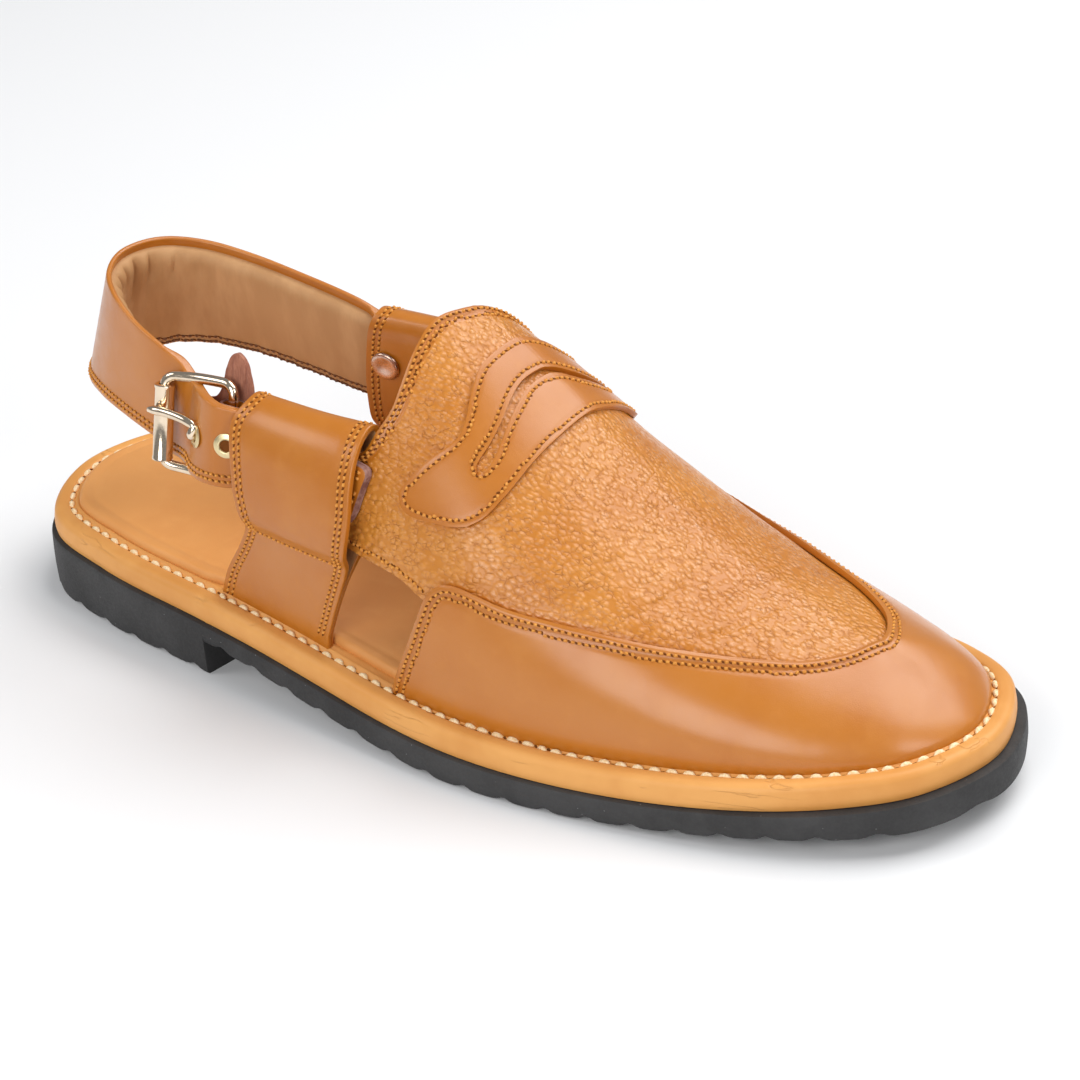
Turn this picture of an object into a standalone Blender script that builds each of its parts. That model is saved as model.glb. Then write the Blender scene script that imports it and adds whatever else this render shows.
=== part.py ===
# Peshawari chappal, right foot, standing on its sole.
# Frame: +X towards the toe, -Y the outer side of the foot, +Z up, lengths below in millimetres.

import math

import bmesh
import bpy
from mathutils import Matrix

MM = 0.001
GAP = 0.3                # clearance left between neighbouring pieces

# Sole unit
LENGTH = 296.0
BREAST_X = -67.0         # front face of the heel block
MIDSOLE_HEIGHT = 6.9
MIDSOLE_INSET = 1.5      # the outsole shows as a narrow ledge round the midsole
MIDSOLE_ROUND = 2.2
INSOLE_INSET = 10.8
INSOLE_TOE_INSET = 17.5  # the insole stops behind the low toe of the upper
INSOLE_HEIGHT = 2.2

# Upper
FEATHER_INSET = 8.0      # outer face of the upper, measured in from the sole edge
WALL = 2.0               # leather and lining together
WING_REAR_X = -26.0
TOE_SPINE_X = 112.0
TUCK = 9.0               # height over which a side wall settles onto the form

# Strap and buckle
STRAP_HEEL = 4.6         # padded part
STRAP_BILLET = 2.8       # part that goes through the buckle
FRAME_WIRE = 3.0
FRAME_HEIGHT = 30.0      # between the middles of the top and the bottom bar
FRAME_SPAN = 23.2        # from the roller to the hinge bar
ROLLER_OUTER = 5.4
PRONG_WIRE = 2.4
CHAPE = 1.0              # one layer of the leather folded round the hinge bar
GUARD = 1.1
EYELET_OUTER = 6.4
EYELET_HOLE = 3.5
RIVET_DIAMETER = 8.4

# Sole edge: station, width to the outer side, width to the inner side
SOLE_EDGE = (
    (-136.0, 28.0, 30.0),
    (-110.0, 38.2, 34.0),
    (-70.0, 44.8, 30.6),
    (-25.0, 51.2, 32.4),
    (20.0, 56.4, 43.6),
    (60.0, 53.6, 48.0),
    (95.0, 46.4, 47.0),
    (122.0, 35.2, 39.6),
    (139.0, 21.8, 27.6),
)
HEEL_END_Y = 0.3
TOE_END_Y = 2.0

# Side view of the sole: station, height of the ledge
LEDGE = (
    (-148.0, 17.6),
    (-100.0, 16.5),
    (-50.0, 14.6),
    (0.0, 9.4),
    (50.0, 7.8),
    (100.0, 10.6),
    (148.0, 15.8),
)

# Underside ahead of the heel block: station, height above the ground
UNDERSIDE = (
    (-64.5, 9.8),
    (-50.0, 8.6),
    (-30.0, 5.6),
    (-8.0, 2.6),
    (12.0, 0.5),
    (22.0, -0.4),
    (46.0, -0.4),
    (60.0, 0.5),
    (90.0, 2.5),
    (120.0, 4.4),
    (150.0, 6.4),
)

# Shape of the foot form: station, outer half width, inner half width, ridge offset, ridge height,
# fullness of the sides, roundness of the ridge
FORM = (
    (-60.0, 36.0, 27.0, 1.5, 127.0, 2.0, 2.0),
    (-32.0, 41.0, 31.0, 2.0, 118.0, 2.0, 2.0),
    (-15.0, 44.0, 33.0, 2.5, 109.5, 2.0, 2.0),
    (0.0, 46.5, 36.0, 3.0, 101.5, 2.2, 1.8),
    (20.0, 48.8, 39.5, 3.0, 87.0, 2.6, 1.65),
    (40.0, 48.5, 41.5, 3.0, 71.8, 2.6, 1.65),
    (60.0, 46.5, 41.5, 3.0, 57.4, 2.6, 1.75),
    (80.0, 43.0, 40.5, 3.0, 47.2, 2.5, 1.8),
    (100.0, 36.8, 37.6, 3.0, 40.6, 2.3, 1.7),
    (112.0, 32.5, 34.6, 3.0, 37.6, 2.0, 1.6),
)
TOE_SQUARENESS = 1.2

# Throat cut, side view, from the wing up over the tongue: outer side, middle, inner side
THROAT = (
    ((-28.0, 71.0), (-28.0, 72.0), (-28.0, 75.0)),
    ((-16.6, 73.8), (-16.5, 75.8), (-16.5, 78.0)),
    ((-11.2, 81.0), (-9.0, 84.0), (-8.0, 81.0)),
    ((-8.6, 91.6), (-5.0, 92.0), (-1.5, 86.5)),
    ((-8.4, 98.8), (-3.8, 98.0), (-0.2, 92.0)),
    ((-5.0, 106.0), (-3.4, 104.0), (-0.7, 99.0)),
)

# Side opening under the wing, side view, from the sole up and back: outer side, inner side
OPENING = (
    ((-2.0, 5.0), (5.0, 5.0)),
    ((-1.0, 17.5), (5.7, 17.5)),
    ((5.0, 30.0), (8.5, 28.0)),
    ((8.5, 40.0), (10.5, 36.0)),
    ((8.0, 45.0), (11.5, 43.6)),
    ((-4.9, 48.6), (-1.6, 46.3)),
    ((-17.3, 50.5), (-16.5, 48.2)),
    ((-70.0, 53.0), (-70.0, 50.0)),
)

# Loop section from the sole up the outside, over the fold and down the inside: height, offset from the form
LOOP_SECTION = (
    (22.6, 0.0),
    (30.0, 0.4),
    (40.0, 1.3),
    (46.0, 3.0),
    (51.0, 5.6),
    (57.0, 6.9),
    (66.0, 7.1),
    (73.5, 6.9),
    (78.6, 5.4),
    (81.4, 2.8),
    (82.2, 0.2),
    (81.2, -3.0),
    (78.0, -4.9),
    (66.0, -5.1),
    (55.0, -5.1),
    (49.5, -4.8),
    (44.0, -2.6),
    (40.0, -1.3),
    (30.0, -2.0),
    (22.6, -2.3),
)
LOOP_TUNNEL = (
    (48.8, 1.4),
    (51.4, 3.6),
    (54.0, 4.7),
    (60.0, 5.2),
    (66.0, 5.3),
    (73.0, 5.1),
    (77.0, 4.0),
    (79.4, 2.0),
    (80.4, 0.0),
    (79.6, -2.2),
    (77.0, -3.2),
    (66.0, -3.3),
    (55.0, -3.2),
    (49.4, -3.0),
    (47.2, -1.0),
)
# Loop edges: height, rear edge, front edge, rear edge of the inner panel
LOOP_OUTER = (
    (18.0, -66.5, -26.8, -66.5),
    (30.0, -62.6, -22.2, -62.6),
    (40.0, -56.4, -18.0, -56.4),
    (48.0, -52.4, -14.8, -52.4),
    (60.0, -53.2, -12.2, -53.2),
    (70.0, -54.2, -12.4, -54.0),
    (77.0, -54.6, -12.8, -54.2),
    (82.2, -51.8, -13.4, -51.8),
)
LOOP_INNER = (
    (18.0, -54.6, -20.5, -54.6),
    (38.0, -53.0, -20.0, -54.6),
    (48.0, -52.0, -19.4, -56.6),
    (62.0, -51.4, -17.0, -56.2),
    (76.0, -51.0, -14.6, -53.0),
    (82.2, -50.8, -13.2, -50.8),
)
LOOP_INNER_LIFT = 1.4    # the inner loop's fold stands a little higher

# Heel strap where it runs through a loop: station, bottom, top, offset of both from the form, thickness, bow
STRAP_IN_INNER = (
    (-21.0, 52.6, 77.4, 2.4, 2.2, 3.4, 0.7),
    (-36.0, 52.6, 78.6, 2.4, 1.4, 3.6, 0.7),
    (-50.0, 52.6, 80.0, 2.4, 0.6, 3.8, 0.6),
)
STRAP_IN_OUTER = (
    (-53.6, 57.6, 75.8, 3.0, 2.4, STRAP_BILLET, 0.3),
    (-44.0, 57.2, 76.4, 2.6, 2.2, STRAP_BILLET, 0.5),
    (-30.0, 56.8, 75.6, 2.3, 2.0, STRAP_BILLET, 0.5),
    (-20.0, 56.6, 75.0, 2.3, 2.0, STRAP_BILLET, 0.4),
)
STRAP_END = (-12.6, 56.2, 73.6, 2.6)      # station, bottom, top, slant of the end
# Heel strap between the loops, from the inner side round the heel: bottom edge, top edge, thickness
STRAP_ROUND = (
    ((-62.0, 28.4, 52.6), (-60.0, 23.4, 83.4), 4.2),
    ((-78.0, 27.4, 55.4), (-76.0, 22.0, 87.2), STRAP_HEEL),
    ((-96.0, 24.4, 59.0), (-92.0, 19.4, 91.4), STRAP_HEEL),
    ((-113.0, 18.6, 61.2), (-105.0, 14.6, 94.8), STRAP_HEEL),
    ((-125.0, 8.6, 61.4), (-113.6, 7.0, 96.8), STRAP_HEEL),
    ((-128.6, -3.0, 61.2), (-116.6, -2.6, 97.0), STRAP_HEEL),
    ((-123.6, -13.6, 62.4), (-113.4, -11.6, 96.0), STRAP_HEEL),
    ((-112.6, -21.4, 63.0), (-106.0, -18.6, 94.2), 4.4),
    ((-99.6, -26.2, 61.6), (-95.4, -23.4, 90.4), 4.0),
    ((-88.6, -28.6, 59.2), (-85.0, -26.2, 87.2), 3.4),
    ((-82.4, -29.4, 57.2), (-78.2, -27.2, 84.6), STRAP_BILLET),
    ((-79.0, -30.0, 56.4), (-75.8, -28.0, 79.8), STRAP_BILLET),
    ((-74.6, -31.9, 56.0), (-71.6, -30.1, 78.2), STRAP_BILLET),
    ((-70.6, -34.2, 56.0), (-68.0, -32.4, 77.4), STRAP_BILLET),
    ((-66.4, -36.8, 56.4), (-64.0, -34.6, 76.8), STRAP_BILLET),
    ((-61.4, -38.6, 57.0), (-59.6, -35.8, 76.6), STRAP_BILLET),
    ((-57.8, -38.8, 57.4), (-56.4, -34.7, 76.2), STRAP_BILLET),
)

# Buckle: middle of the roller, lean of the bars, and the two holes on the strap (station, height share)
ROLLER_AT = (-83.2, -34.1, 68.8)
BUCKLE_UP = (0.225, 0.17, 0.960)
BUCKLE_AHEAD = (0.972, 0.055, -0.235)
PRONG_HOLE = (-71.2, 0.46)
SPARE_HOLE = (-58.9, 0.54)
CHAPE_HEIGHT = 21.0
CHAPE_RISE = 2.6         # the folded leather climbs towards the loop
CHAPE_END_X = -47.5
CHAPE_OFFSET = -0.6      # middle of the folded leather from the form, inside the loop

# Guard behind the buckle: station, middle at mid height, bottom edge, top edge
GUARD_SHAPE = (
    (-82.0, -25.2, 66.6, 69.8),
    (-80.6, -25.5, 62.8, 73.6),
    (-77.4, -26.0, 60.0, 76.8),
    (-72.0, -26.6, 58.6, 78.8),
    (-67.0, -27.0, 58.0, 80.6),
    (-63.6, -27.3, 57.8, 85.2),
    (-61.6, -27.5, 57.8, 88.6),
    (-60.0, -27.6, 57.8, 88.2),
    (-58.0, -27.8, 58.0, 84.0),
    (-56.2, -28.0, 58.2, 80.6),
)
GUARD_LEAN = 0.18

# Rivets on the inner panels of the loops: station, height
RIVET_OUTER = (-26.2, 68.2)
RIVET_INNER = (-49.4, 68.6)

MATERIALS = {
    "rubber_sole": (0.045, 0.045, 0.048),
    "leather_welt": (0.66, 0.32, 0.10),
    "leather_insole": (0.60, 0.30, 0.12),
    "leather_upper": (0.55, 0.24, 0.06),
    "leather_strap": (0.52, 0.22, 0.055),
    "suede_guard": (0.26, 0.08, 0.04),
    "brass": (0.80, 0.66, 0.42),
    "rivet_metal": (0.62, 0.42, 0.30),
}


def slope_at(rows, i, c):
    low, high = max(i - 1, 0), min(i + 1, len(rows) - 1)
    return (rows[high][c] - rows[low][c]) / (rows[high][0] - rows[low][0])


def lookup(rows, x, c=1):
    """Smooth reading of column c of a table whose first column is the station."""
    if x <= rows[0][0]:
        return rows[0][c]
    if x >= rows[-1][0]:
        return rows[-1][c]
    i = 0
    while rows[i + 1][0] < x:
        i += 1
    span = rows[i + 1][0] - rows[i][0]
    t = (x - rows[i][0]) / span
    a, b = rows[i][c], rows[i + 1][c]
    ma, mb = slope_at(rows, i, c) * span, slope_at(rows, i + 1, c) * span
    return (a * (2 * t**3 - 3 * t**2 + 1) + ma * (t**3 - 2 * t**2 + t)
            + b * (3 * t**2 - 2 * t**3) + mb * (t**3 - t**2))


def through(points, steps, closed=False):
    """Points of a smooth curve through the given ones, in any number of dimensions."""
    count = len(points)
    out = []
    spans = count if closed else count - 1
    for i in range(spans):
        if closed:
            four = [points[(i + k - 1) % count] for k in range(4)]
        else:
            four = [points[min(max(i + k - 1, 0), count - 1)] for k in range(4)]
        gaps = [max(math.dist(four[k][:2], four[k + 1][:2]), 1e-6) ** 0.5 for k in range(3)]
        if not closed and i == 0:
            gaps[0] = gaps[1]
        if not closed and i == spans - 1:
            gaps[2] = gaps[1]
        for step in range(steps):
            t = step / steps
            row = []
            for a, b, c, d in zip(*four):
                m1 = (b - a) / gaps[0] - (c - a) / (gaps[0] + gaps[1]) + (c - b) / gaps[1]
                m2 = (c - b) / gaps[1] - (d - b) / (gaps[1] + gaps[2]) + (d - c) / gaps[2]
                m1, m2 = m1 * gaps[1], m2 * gaps[1]
                row.append(b * (2 * t**3 - 3 * t**2 + 1) + m1 * (t**3 - 2 * t**2 + t)
                           + c * (3 * t**2 - 2 * t**3) + m2 * (t**3 - t**2))
            out.append(tuple(row))
    if not closed:
        out.append(tuple(points[-1]))
    return out


def sole_edge(inset, steps=5):
    """Closed plan outline, anticlockwise from the heel end along the outer side."""
    corners = [(-LENGTH / 2, HEEL_END_Y)]
    corners += [(x, -outer) for x, outer, _ in SOLE_EDGE]
    corners += [(LENGTH / 2, TOE_END_Y)]
    corners += [(x, inner) for x, _, inner in reversed(SOLE_EDGE)]
    ring = through(corners, steps, closed=True)
    moved = []
    for i, (x, y) in enumerate(ring):
        before, after = ring[i - 1], ring[(i + 1) % len(ring)]
        tx, ty = after[0] - before[0], after[1] - before[1]
        size = math.hypot(tx, ty)
        moved.append((x - inset * ty / size, y + inset * tx / size))
    return moved


def ledge(x):
    return lookup(LEDGE, x)


def midsole_top(x):
    return ledge(x) + GAP + MIDSOLE_HEIGHT


def feather_z(x):
    return midsole_top(x) + GAP


def form_y(side, x, z):
    """Distance of the foot form from the middle plane at a station and height; side is -1 outer, 1 inner."""
    half = lookup(FORM, x, 1 if side < 0 else 2)
    ridge, top, full, sharp = (lookup(FORM, x, c) for c in (3, 4, 5, 6))
    base = feather_z(x)
    up = min(max((z - base) / (top - base), 0.0), 1.0)
    return (half - side * ridge) * (1 - up**full) ** (1 / sharp) + side * ridge


def edge_y(side, x, inset=FEATHER_INSET):
    """Distance of the sole edge, moved in by inset, from the middle plane at a station."""
    ring = sole_edge(inset, 12)
    tip = max(range(len(ring)), key=lambda i: ring[i][0])
    half = ring[:tip + 1] if side < 0 else ring[tip:] + ring[:1]
    for (ax, ay), (bx, by) in zip(half, half[1:]):
        if min(ax, bx) <= x <= max(ax, bx) and ax != bx:
            return abs(ay + (by - ay) * (x - ax) / (bx - ax))
    return 0.0


def on_form(side, x, z, offset=0.0):
    """Point at an offset outside the form, and the direction straight out of it there."""
    y = side * form_y(side, x, z)
    along = (2.0, side * form_y(side, x + 1, z) - side * form_y(side, x - 1, z), 0.0)
    rise = (0.0, side * form_y(side, x, z + 1) - side * form_y(side, x, z - 1), 2.0)
    out = unit(cross(along, rise))
    if out[1] * side < 0:
        out = tuple(-c for c in out)
    return add((x, y, z), (offset, out)), out


def new_object(name, mesh_data, material):
    obj = bpy.data.objects.new(name, mesh_data)
    PARTS.objects.link(obj)
    mesh_data.materials.append(FINISH[material])
    return obj


def mesh_of(name, points, faces):
    data = bpy.data.meshes.new(name)
    data.from_pydata([tuple(c * MM for c in p) for p in points], [], faces)
    work = bmesh.new()
    work.from_mesh(data)
    bmesh.ops.remove_doubles(work, verts=work.verts, dist=1e-7)
    bmesh.ops.recalc_face_normals(work, faces=work.faces)
    bmesh.ops.triangulate(work, faces=work.faces)
    work.to_mesh(data)
    work.free()
    return data


def loft(name, rings, closed=False):
    """Closed skin through rings of points; the two ends are capped unless the rings close on themselves."""
    size = len(rings[0])
    points = [p for ring in rings for p in ring]
    faces = []
    last = len(rings) if closed else len(rings) - 1
    for r in range(last):
        a, b = r * size, (r + 1) % len(rings) * size
        for k in range(size):
            n = (k + 1) % size
            faces.append((a + k, a + n, b + n, b + k))
    if not closed:
        faces.append(tuple(reversed(range(size))))
        faces.append(tuple(range((len(rings) - 1) * size, len(rings) * size)))
    return mesh_of(name, points, faces)


def slab(name, outline, low, high, stations, round_over=0.0):
    """A plate of this outline whose faces follow low(x) and high(x)."""
    work = bmesh.new()
    bottom = [work.verts.new((x * MM, y * MM, 0.0)) for x, y in outline]
    base = work.faces.new(bottom)
    made = bmesh.ops.extrude_face_region(work, geom=[base])
    top = [g for g in made["geom"] if isinstance(g, bmesh.types.BMVert)]
    for v in top:
        v.co.z = 10 * MM
    if round_over:
        rim = [e for e in work.edges if all(v.co.z > 5 * MM for v in e.verts)]
        bmesh.ops.bevel(work, geom=rim, offset=round_over * MM, segments=2, profile=0.5, affect="EDGES")
    for x in stations:
        bmesh.ops.bisect_plane(
            work, geom=work.verts[:] + work.edges[:] + work.faces[:], dist=1e-7,
            plane_co=(x * MM, 0, 0), plane_no=(1, 0, 0))
    for v in work.verts:
        x = v.co.x / MM
        if v.co.z < 0.5 * MM:
            v.co.z = low(x) * MM
        else:
            v.co.z = (high(x) - 10) * MM + v.co.z
    bmesh.ops.recalc_face_normals(work, faces=work.faces)
    data = bpy.data.meshes.new(name)
    work.to_mesh(data)
    work.free()
    return data


def cutter(name, sections):
    """A hidden cutting body lofted through equal sections."""
    obj = bpy.data.objects.new(name, loft(name, sections))
    obj.hide_render = True
    obj.display_type = "WIRE"
    CUTTERS.objects.link(obj)
    return obj


def cut(obj, tool):
    modifier = obj.modifiers.new("Cut " + tool.name, "BOOLEAN")
    modifier.operation = "DIFFERENCE"
    modifier.solver = "EXACT"
    modifier.object = tool


def unit(v):
    size = math.sqrt(sum(c * c for c in v))
    return tuple(c / size for c in v)


def cross(a, b):
    return (a[1] * b[2] - a[2] * b[1], a[2] * b[0] - a[0] * b[2], a[0] * b[1] - a[1] * b[0])


def add(p, *steps):
    out = list(p)
    for amount, direction in steps:
        for i in range(3):
            out[i] += amount * direction[i]
    return tuple(out)


def disc(centre, across, up, radius, sides):
    return [add(centre, (radius * math.cos(2 * math.pi * k / sides), across),
                (radius * math.sin(2 * math.pi * k / sides), up)) for k in range(sides)]


def tube(name, path, radius, sides, closed=False, radii=None):
    """A round bar along a path; each ring stands square to the path."""
    rings = []
    count = len(path)
    hold = None
    for i, p in enumerate(path):
        a = path[(i - 1) % count] if closed or i else path[0]
        b = path[(i + 1) % count] if closed or i < count - 1 else path[-1]
        along = unit(add(b, (-1, a)))
        hold = hold or unit(cross(along, (0.3, 0.9, 0.2)))
        side = unit(cross(along, cross(hold, along)))
        hold = side
        rings.append(disc(p, side, unit(cross(along, side)), radii[i] if radii else radius, sides))
    return loft(name, rings, closed)


def build_sole():
    stations = [-136 + 16 * i for i in range(18)]
    outsole = new_object(
        "outsole", slab("outsole", sole_edge(0.0), lambda x: 0.0, ledge, stations), "rubber_sole")
    profile = [(BREAST_X, -6.0)] + list(UNDERSIDE) + [(152.0, -6.0)]
    cut(outsole, cutter("cut_underside", [[(x, y, z) for x, z in profile] for y in (-80.0, 80.0)]))
    new_object("midsole", slab("midsole", sole_edge(MIDSOLE_INSET), lambda x: ledge(x) + GAP,
                               midsole_top, stations, MIDSOLE_ROUND), "leather_welt")
    outline = []
    for (x, y), (toe_x, toe_y) in zip(sole_edge(INSOLE_INSET), sole_edge(INSOLE_TOE_INSET)):
        share = min(max((x - 84.0) / 50.0, 0.0), 1.0)
        outline.append((x + (toe_x - x) * share, y + (toe_y - y) * share))
    new_object("insole", slab("insole", outline, lambda x: midsole_top(x) + GAP,
                              lambda x: midsole_top(x) + GAP + INSOLE_HEIGHT, stations, 0.9),
               "leather_insole")


def upper_column(foot, ridge, full, sharp, tuck, side_y, rows):
    """One rising line of the upper from the feather edge to the ridge, in equal steps."""
    fine = []
    for r in range(61):
        angle = math.pi / 2 * r / 60
        out = 1 - max(math.cos(angle), 0.0) ** (2 / sharp)
        up = math.sin(angle) ** (2 / full)
        x = foot[0] + (ridge[0] - foot[0]) * out
        y = side_y + (ridge[1] - side_y) * out
        z = foot[2] + (ridge[2] - foot[2]) * up
        hold = math.exp(-(z - foot[2]) / TUCK)
        fine.append((x, y + (foot[1] - side_y) * tuck * hold, z))
    fine[-1] = ridge
    run = [0.0]
    for p, q in zip(fine, fine[1:]):
        run.append(run[-1] + math.dist(p, q))
    line = []
    for r in range(rows + 1):
        want = run[-1] * r / rows
        i = min(max(k for k in range(61) if run[k] <= want + 1e-9), 59)
        t = (want - run[i]) / max(run[i + 1] - run[i], 1e-9)
        line.append(tuple(p + (q - p) * min(t, 1.0) for p, q in zip(fine[i], fine[i + 1])))
    return line


def build_upper():
    rows = 9
    spine_end = (TOE_SPINE_X, lookup(FORM, TOE_SPINE_X, 3), lookup(FORM, TOE_SPINE_X, 4))
    stations = [WING_REAR_X + i * (TOE_SPINE_X - WING_REAR_X) / 20 for i in range(21)]
    columns = []
    for side in (-1, 1):
        part = []
        for x in stations:
            ridge = (x, lookup(FORM, x, 3), lookup(FORM, x, 4))
            foot = (x, side * edge_y(side, x), feather_z(x))
            wide = side * lookup(FORM, x, 1 if side < 0 else 2)
            blend = min(max((TOE_SPINE_X - x) / 40, 0), 1)
            wide = foot[1] + (wide - foot[1]) * blend
            part.append(upper_column(foot, ridge, lookup(FORM, x, 5), lookup(FORM, x, 6), 1.0, wide, rows))
        columns.append(part)
    fan = [p for p in sole_edge(FEATHER_INSET, 7) if p[0] > TOE_SPINE_X + 0.5]
    fan.sort(key=lambda p: math.atan2(p[1] - spine_end[1], p[0] - TOE_SPINE_X))
    toe = []
    for x, y in fan:
        turn = abs(math.atan2(y - spine_end[1], x - TOE_SPINE_X)) / (math.pi / 2)
        full, sharp = (TOE_SQUARENESS + (lookup(FORM, TOE_SPINE_X, c) - TOE_SQUARENESS) * turn**1.5
                       for c in (5, 6))
        toe.append(upper_column((x, y, feather_z(x)), spine_end, full, sharp, 0.0, y, rows))
    lines = columns[0] + toe + list(reversed(columns[1]))
    for line in lines:
        x, y, z = line[0]
        line[0] = (x, y, z - 2.0)
    points = [p for line in lines for p in line]
    faces = []
    size = rows + 1
    for c in range(len(lines) - 1):
        for r in range(rows):
            a, b = c * size + r, (c + 1) * size + r
            faces.append((a, b, b + 1, a + 1))
    data = mesh_of("upper", points, faces)
    upper = new_object("upper", data, "leather_upper")
    shell = upper.modifiers.new("Wall", "SOLIDIFY")
    shell.thickness = WALL * MM
    shell.offset = -1.0
    shell.use_even_offset = False
    shell.use_rim = True
    flat = [(x, feather_z(x)) for x in range(-40, 160, 12)]
    profile = [(-40.0, -10.0)] + flat + [(flat[-1][0], -10.0)]
    cut(upper, cutter("cut_feather", [[(x, y, z) for x, z in profile] for y in (-80.0, 80.0)]))
    outer, middle, inner = ([row[k] for row in THROAT] for k in range(3))
    sections = []
    for y, line in ((-80.0, outer), (-20.0, outer), (3.0, middle), (20.0, inner), (80.0, inner)):
        ring = [(-80.0, line[0][1] - 3.0)] + line + [(line[-1][0], 140.0), (-80.0, 140.0)]
        sections.append([(x, y, z) for x, z in ring])
    cut(upper, cutter("cut_throat", sections))
    outer, inner = ([row[k] for row in OPENING] for k in range(2))
    sections = [[(x, y, z) for x, z in [(-70.0, 5.0)] + line] for y, line in ((-80.0, outer), (80.0, inner))]
    cut(upper, cutter("cut_sides", sections))


def build_loop(name, side, edges, lift):
    low, high = LOOP_SECTION[0][0], 82.2

    def place(share, z, offset, beyond=0.0):
        rear = lookup(edges, z, 3 if offset < -2.4 else 1) - beyond
        front = lookup(edges, z, 2) + beyond
        x = rear + (front - rear) * share
        raised = z + lift * max(z - 50.0, 0.0) / (high - 50.0)
        base = feather_z(x)
        if z <= low + 0.1:
            raised = base
        settle = edge_y(side, x) - form_y(side, x, base)
        hold = math.exp(-max(raised - base, 0.0) / TUCK)
        return (x, side * (form_y(side, x, max(z, base)) + offset + settle * hold), raised)

    body = [[place(s / 5, z, d) for z, d in LOOP_SECTION] for s in range(6)]
    loop = new_object(name, loft(name, body), "leather_strap")
    tunnel = [[place(s / 5, z, d, 8.0) for z, d in LOOP_TUNNEL] for s in range(6)]
    cut(loop, cutter("cut_" + name, tunnel))
    return loop


def strap_rows():
    """Rows of the heel strap: bottom edge, top edge, thickness, bow."""
    rows = []
    for x, low, high, near_low, near_high, thick, bow in STRAP_IN_INNER:
        rows.append(((x, form_y(1, x, low) + near_low, low),
                     (x, form_y(1, x, high) + near_high, high), thick, bow))
    rows += [row + (0.0,) for row in STRAP_ROUND]
    for x, low, high, near_low, near_high, thick, bow in STRAP_IN_OUTER:
        rows.append(((x - 1.0, -form_y(-1, x - 1.0, low) - near_low, low),
                     (x + 1.0, -form_y(-1, x + 1.0, high) - near_high, high), thick, bow))
    x, low, high, slant = STRAP_END
    rows.append(((x - slant, -form_y(-1, x - slant, low) - 2.2, low),
                 (x + slant, -form_y(-1, x + slant, high) - 2.0, high), STRAP_BILLET, 0.3))
    return through([row[0] + row[1] + row[2:] for row in rows], 2)


def strap_frame(rows, i):
    """Directions along, up and out of the strap at one of its rows."""
    a, b = rows[max(i - 1, 0)], rows[min(i + 1, len(rows) - 1)]
    along = unit([(b[k] + b[k + 3] - a[k] - a[k + 3]) / 2 for k in range(3)])
    up = unit([rows[i][k + 3] - rows[i][k] for k in range(3)])
    return along, up, unit(cross(along, up))


def build_strap():
    rows = strap_rows()
    rings = []
    for i, row in enumerate(rows):
        along, up, out = strap_frame(rows, i)
        height = math.dist(row[:3], row[3:6])
        half, bow = row[6] / 2, row[7]
        edge = min(half * 0.8, 1.4)
        levels = (0.0, edge, height * 0.5, height - edge, height)
        thin = (half * 0.5, half, half, half, half * 0.5)
        shape = [(h, -t) for h, t in zip(levels, thin)] + [(h, t) for h, t in zip(levels[::-1], thin)]
        rings.append([add(row[:3], (h, up), (d + 4 * bow * h * (height - h) / height**2, out))
                      for h, d in shape])
    return new_object("heel_strap", loft("heel_strap", rings), "leather_strap")


def strap_hole(rows, station, share):
    """Middle of a hole on the strap's outer half, with the directions along, up and out there."""
    ends = [add(row[:3], (share, [row[k + 3] - row[k] for k in range(3)])) for row in rows]
    for i in range(len(rows) // 2, len(rows) - 1):
        if ends[i][0] <= station <= ends[i + 1][0]:
            t = (station - ends[i][0]) / (ends[i + 1][0] - ends[i][0])
            middle = add(ends[i], (t, [q - p for p, q in zip(ends[i], ends[i + 1])]))
            along, up, out = strap_frame(rows, i + (t > 0.5))
            return middle, along, unit(cross(out, along)), out
    return None


def turned(name, centre, along, up, out, profile, sides):
    """A ring or a disc turned round the outward axis; profile holds radius and height."""
    rings = []
    for k in range(sides):
        angle = 2 * math.pi * k / sides
        rings.append([add(centre, (r * math.cos(angle), along), (r * math.sin(angle), up), (h, out))
                      for r, h in profile])
    return loft(name, rings, closed=True)


def build_eyelet(strap, name, hole):
    centre, along, up, out = hole
    bore, flange = EYELET_HOLE / 2, EYELET_OUTER / 2
    face = STRAP_BILLET / 2
    tool = cutter("cut_" + name, [disc(add(centre, (h, out)), along, up, bore + 0.75, 16) for h in (4.0, -4.0)])
    cut(strap, tool)
    profile = ((bore, -face), (bore + 0.45, -face), (bore + 0.45, face + 0.3), (flange, face + 0.35),
               (flange - 0.2, face + 0.8), (bore + 0.3, face + 0.95), (bore, face + 0.7))
    new_object(name, turned(name, centre, along, up, out, profile, 16), "brass")


def build_rivet(loop, name, side, at):
    x, z = at
    centre, out = on_form(side, x, z, -5.1)
    inward = tuple(-c for c in out)
    along = unit(cross((0.0, 0.0, 1.0), inward))
    up = unit(cross(inward, along))
    tool = cutter("cut_" + name, [disc(add(centre, (h, inward)), along, up, 1.5, 14) for h in (1.5, -2.4)])
    cut(loop, tool)
    r = RIVET_DIAMETER / 2
    profile = ((1.15, -1.6), (1.15, 0.3), (r - 0.4, 0.3), (r, 0.6), (r - 0.3, 1.0), (r - 1.2, 1.2), (0.8, 0.8))
    rings = [disc(add(centre, (h, inward)), along, up, rad, 20) for rad, h in profile]
    new_object(name, loft(name, rings), "rivet_metal")


def buckle_axes():
    ahead = unit(BUCKLE_AHEAD)
    out = unit(cross(ahead, BUCKLE_UP))
    up = unit(cross(out, ahead))
    return ahead, up, out


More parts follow.
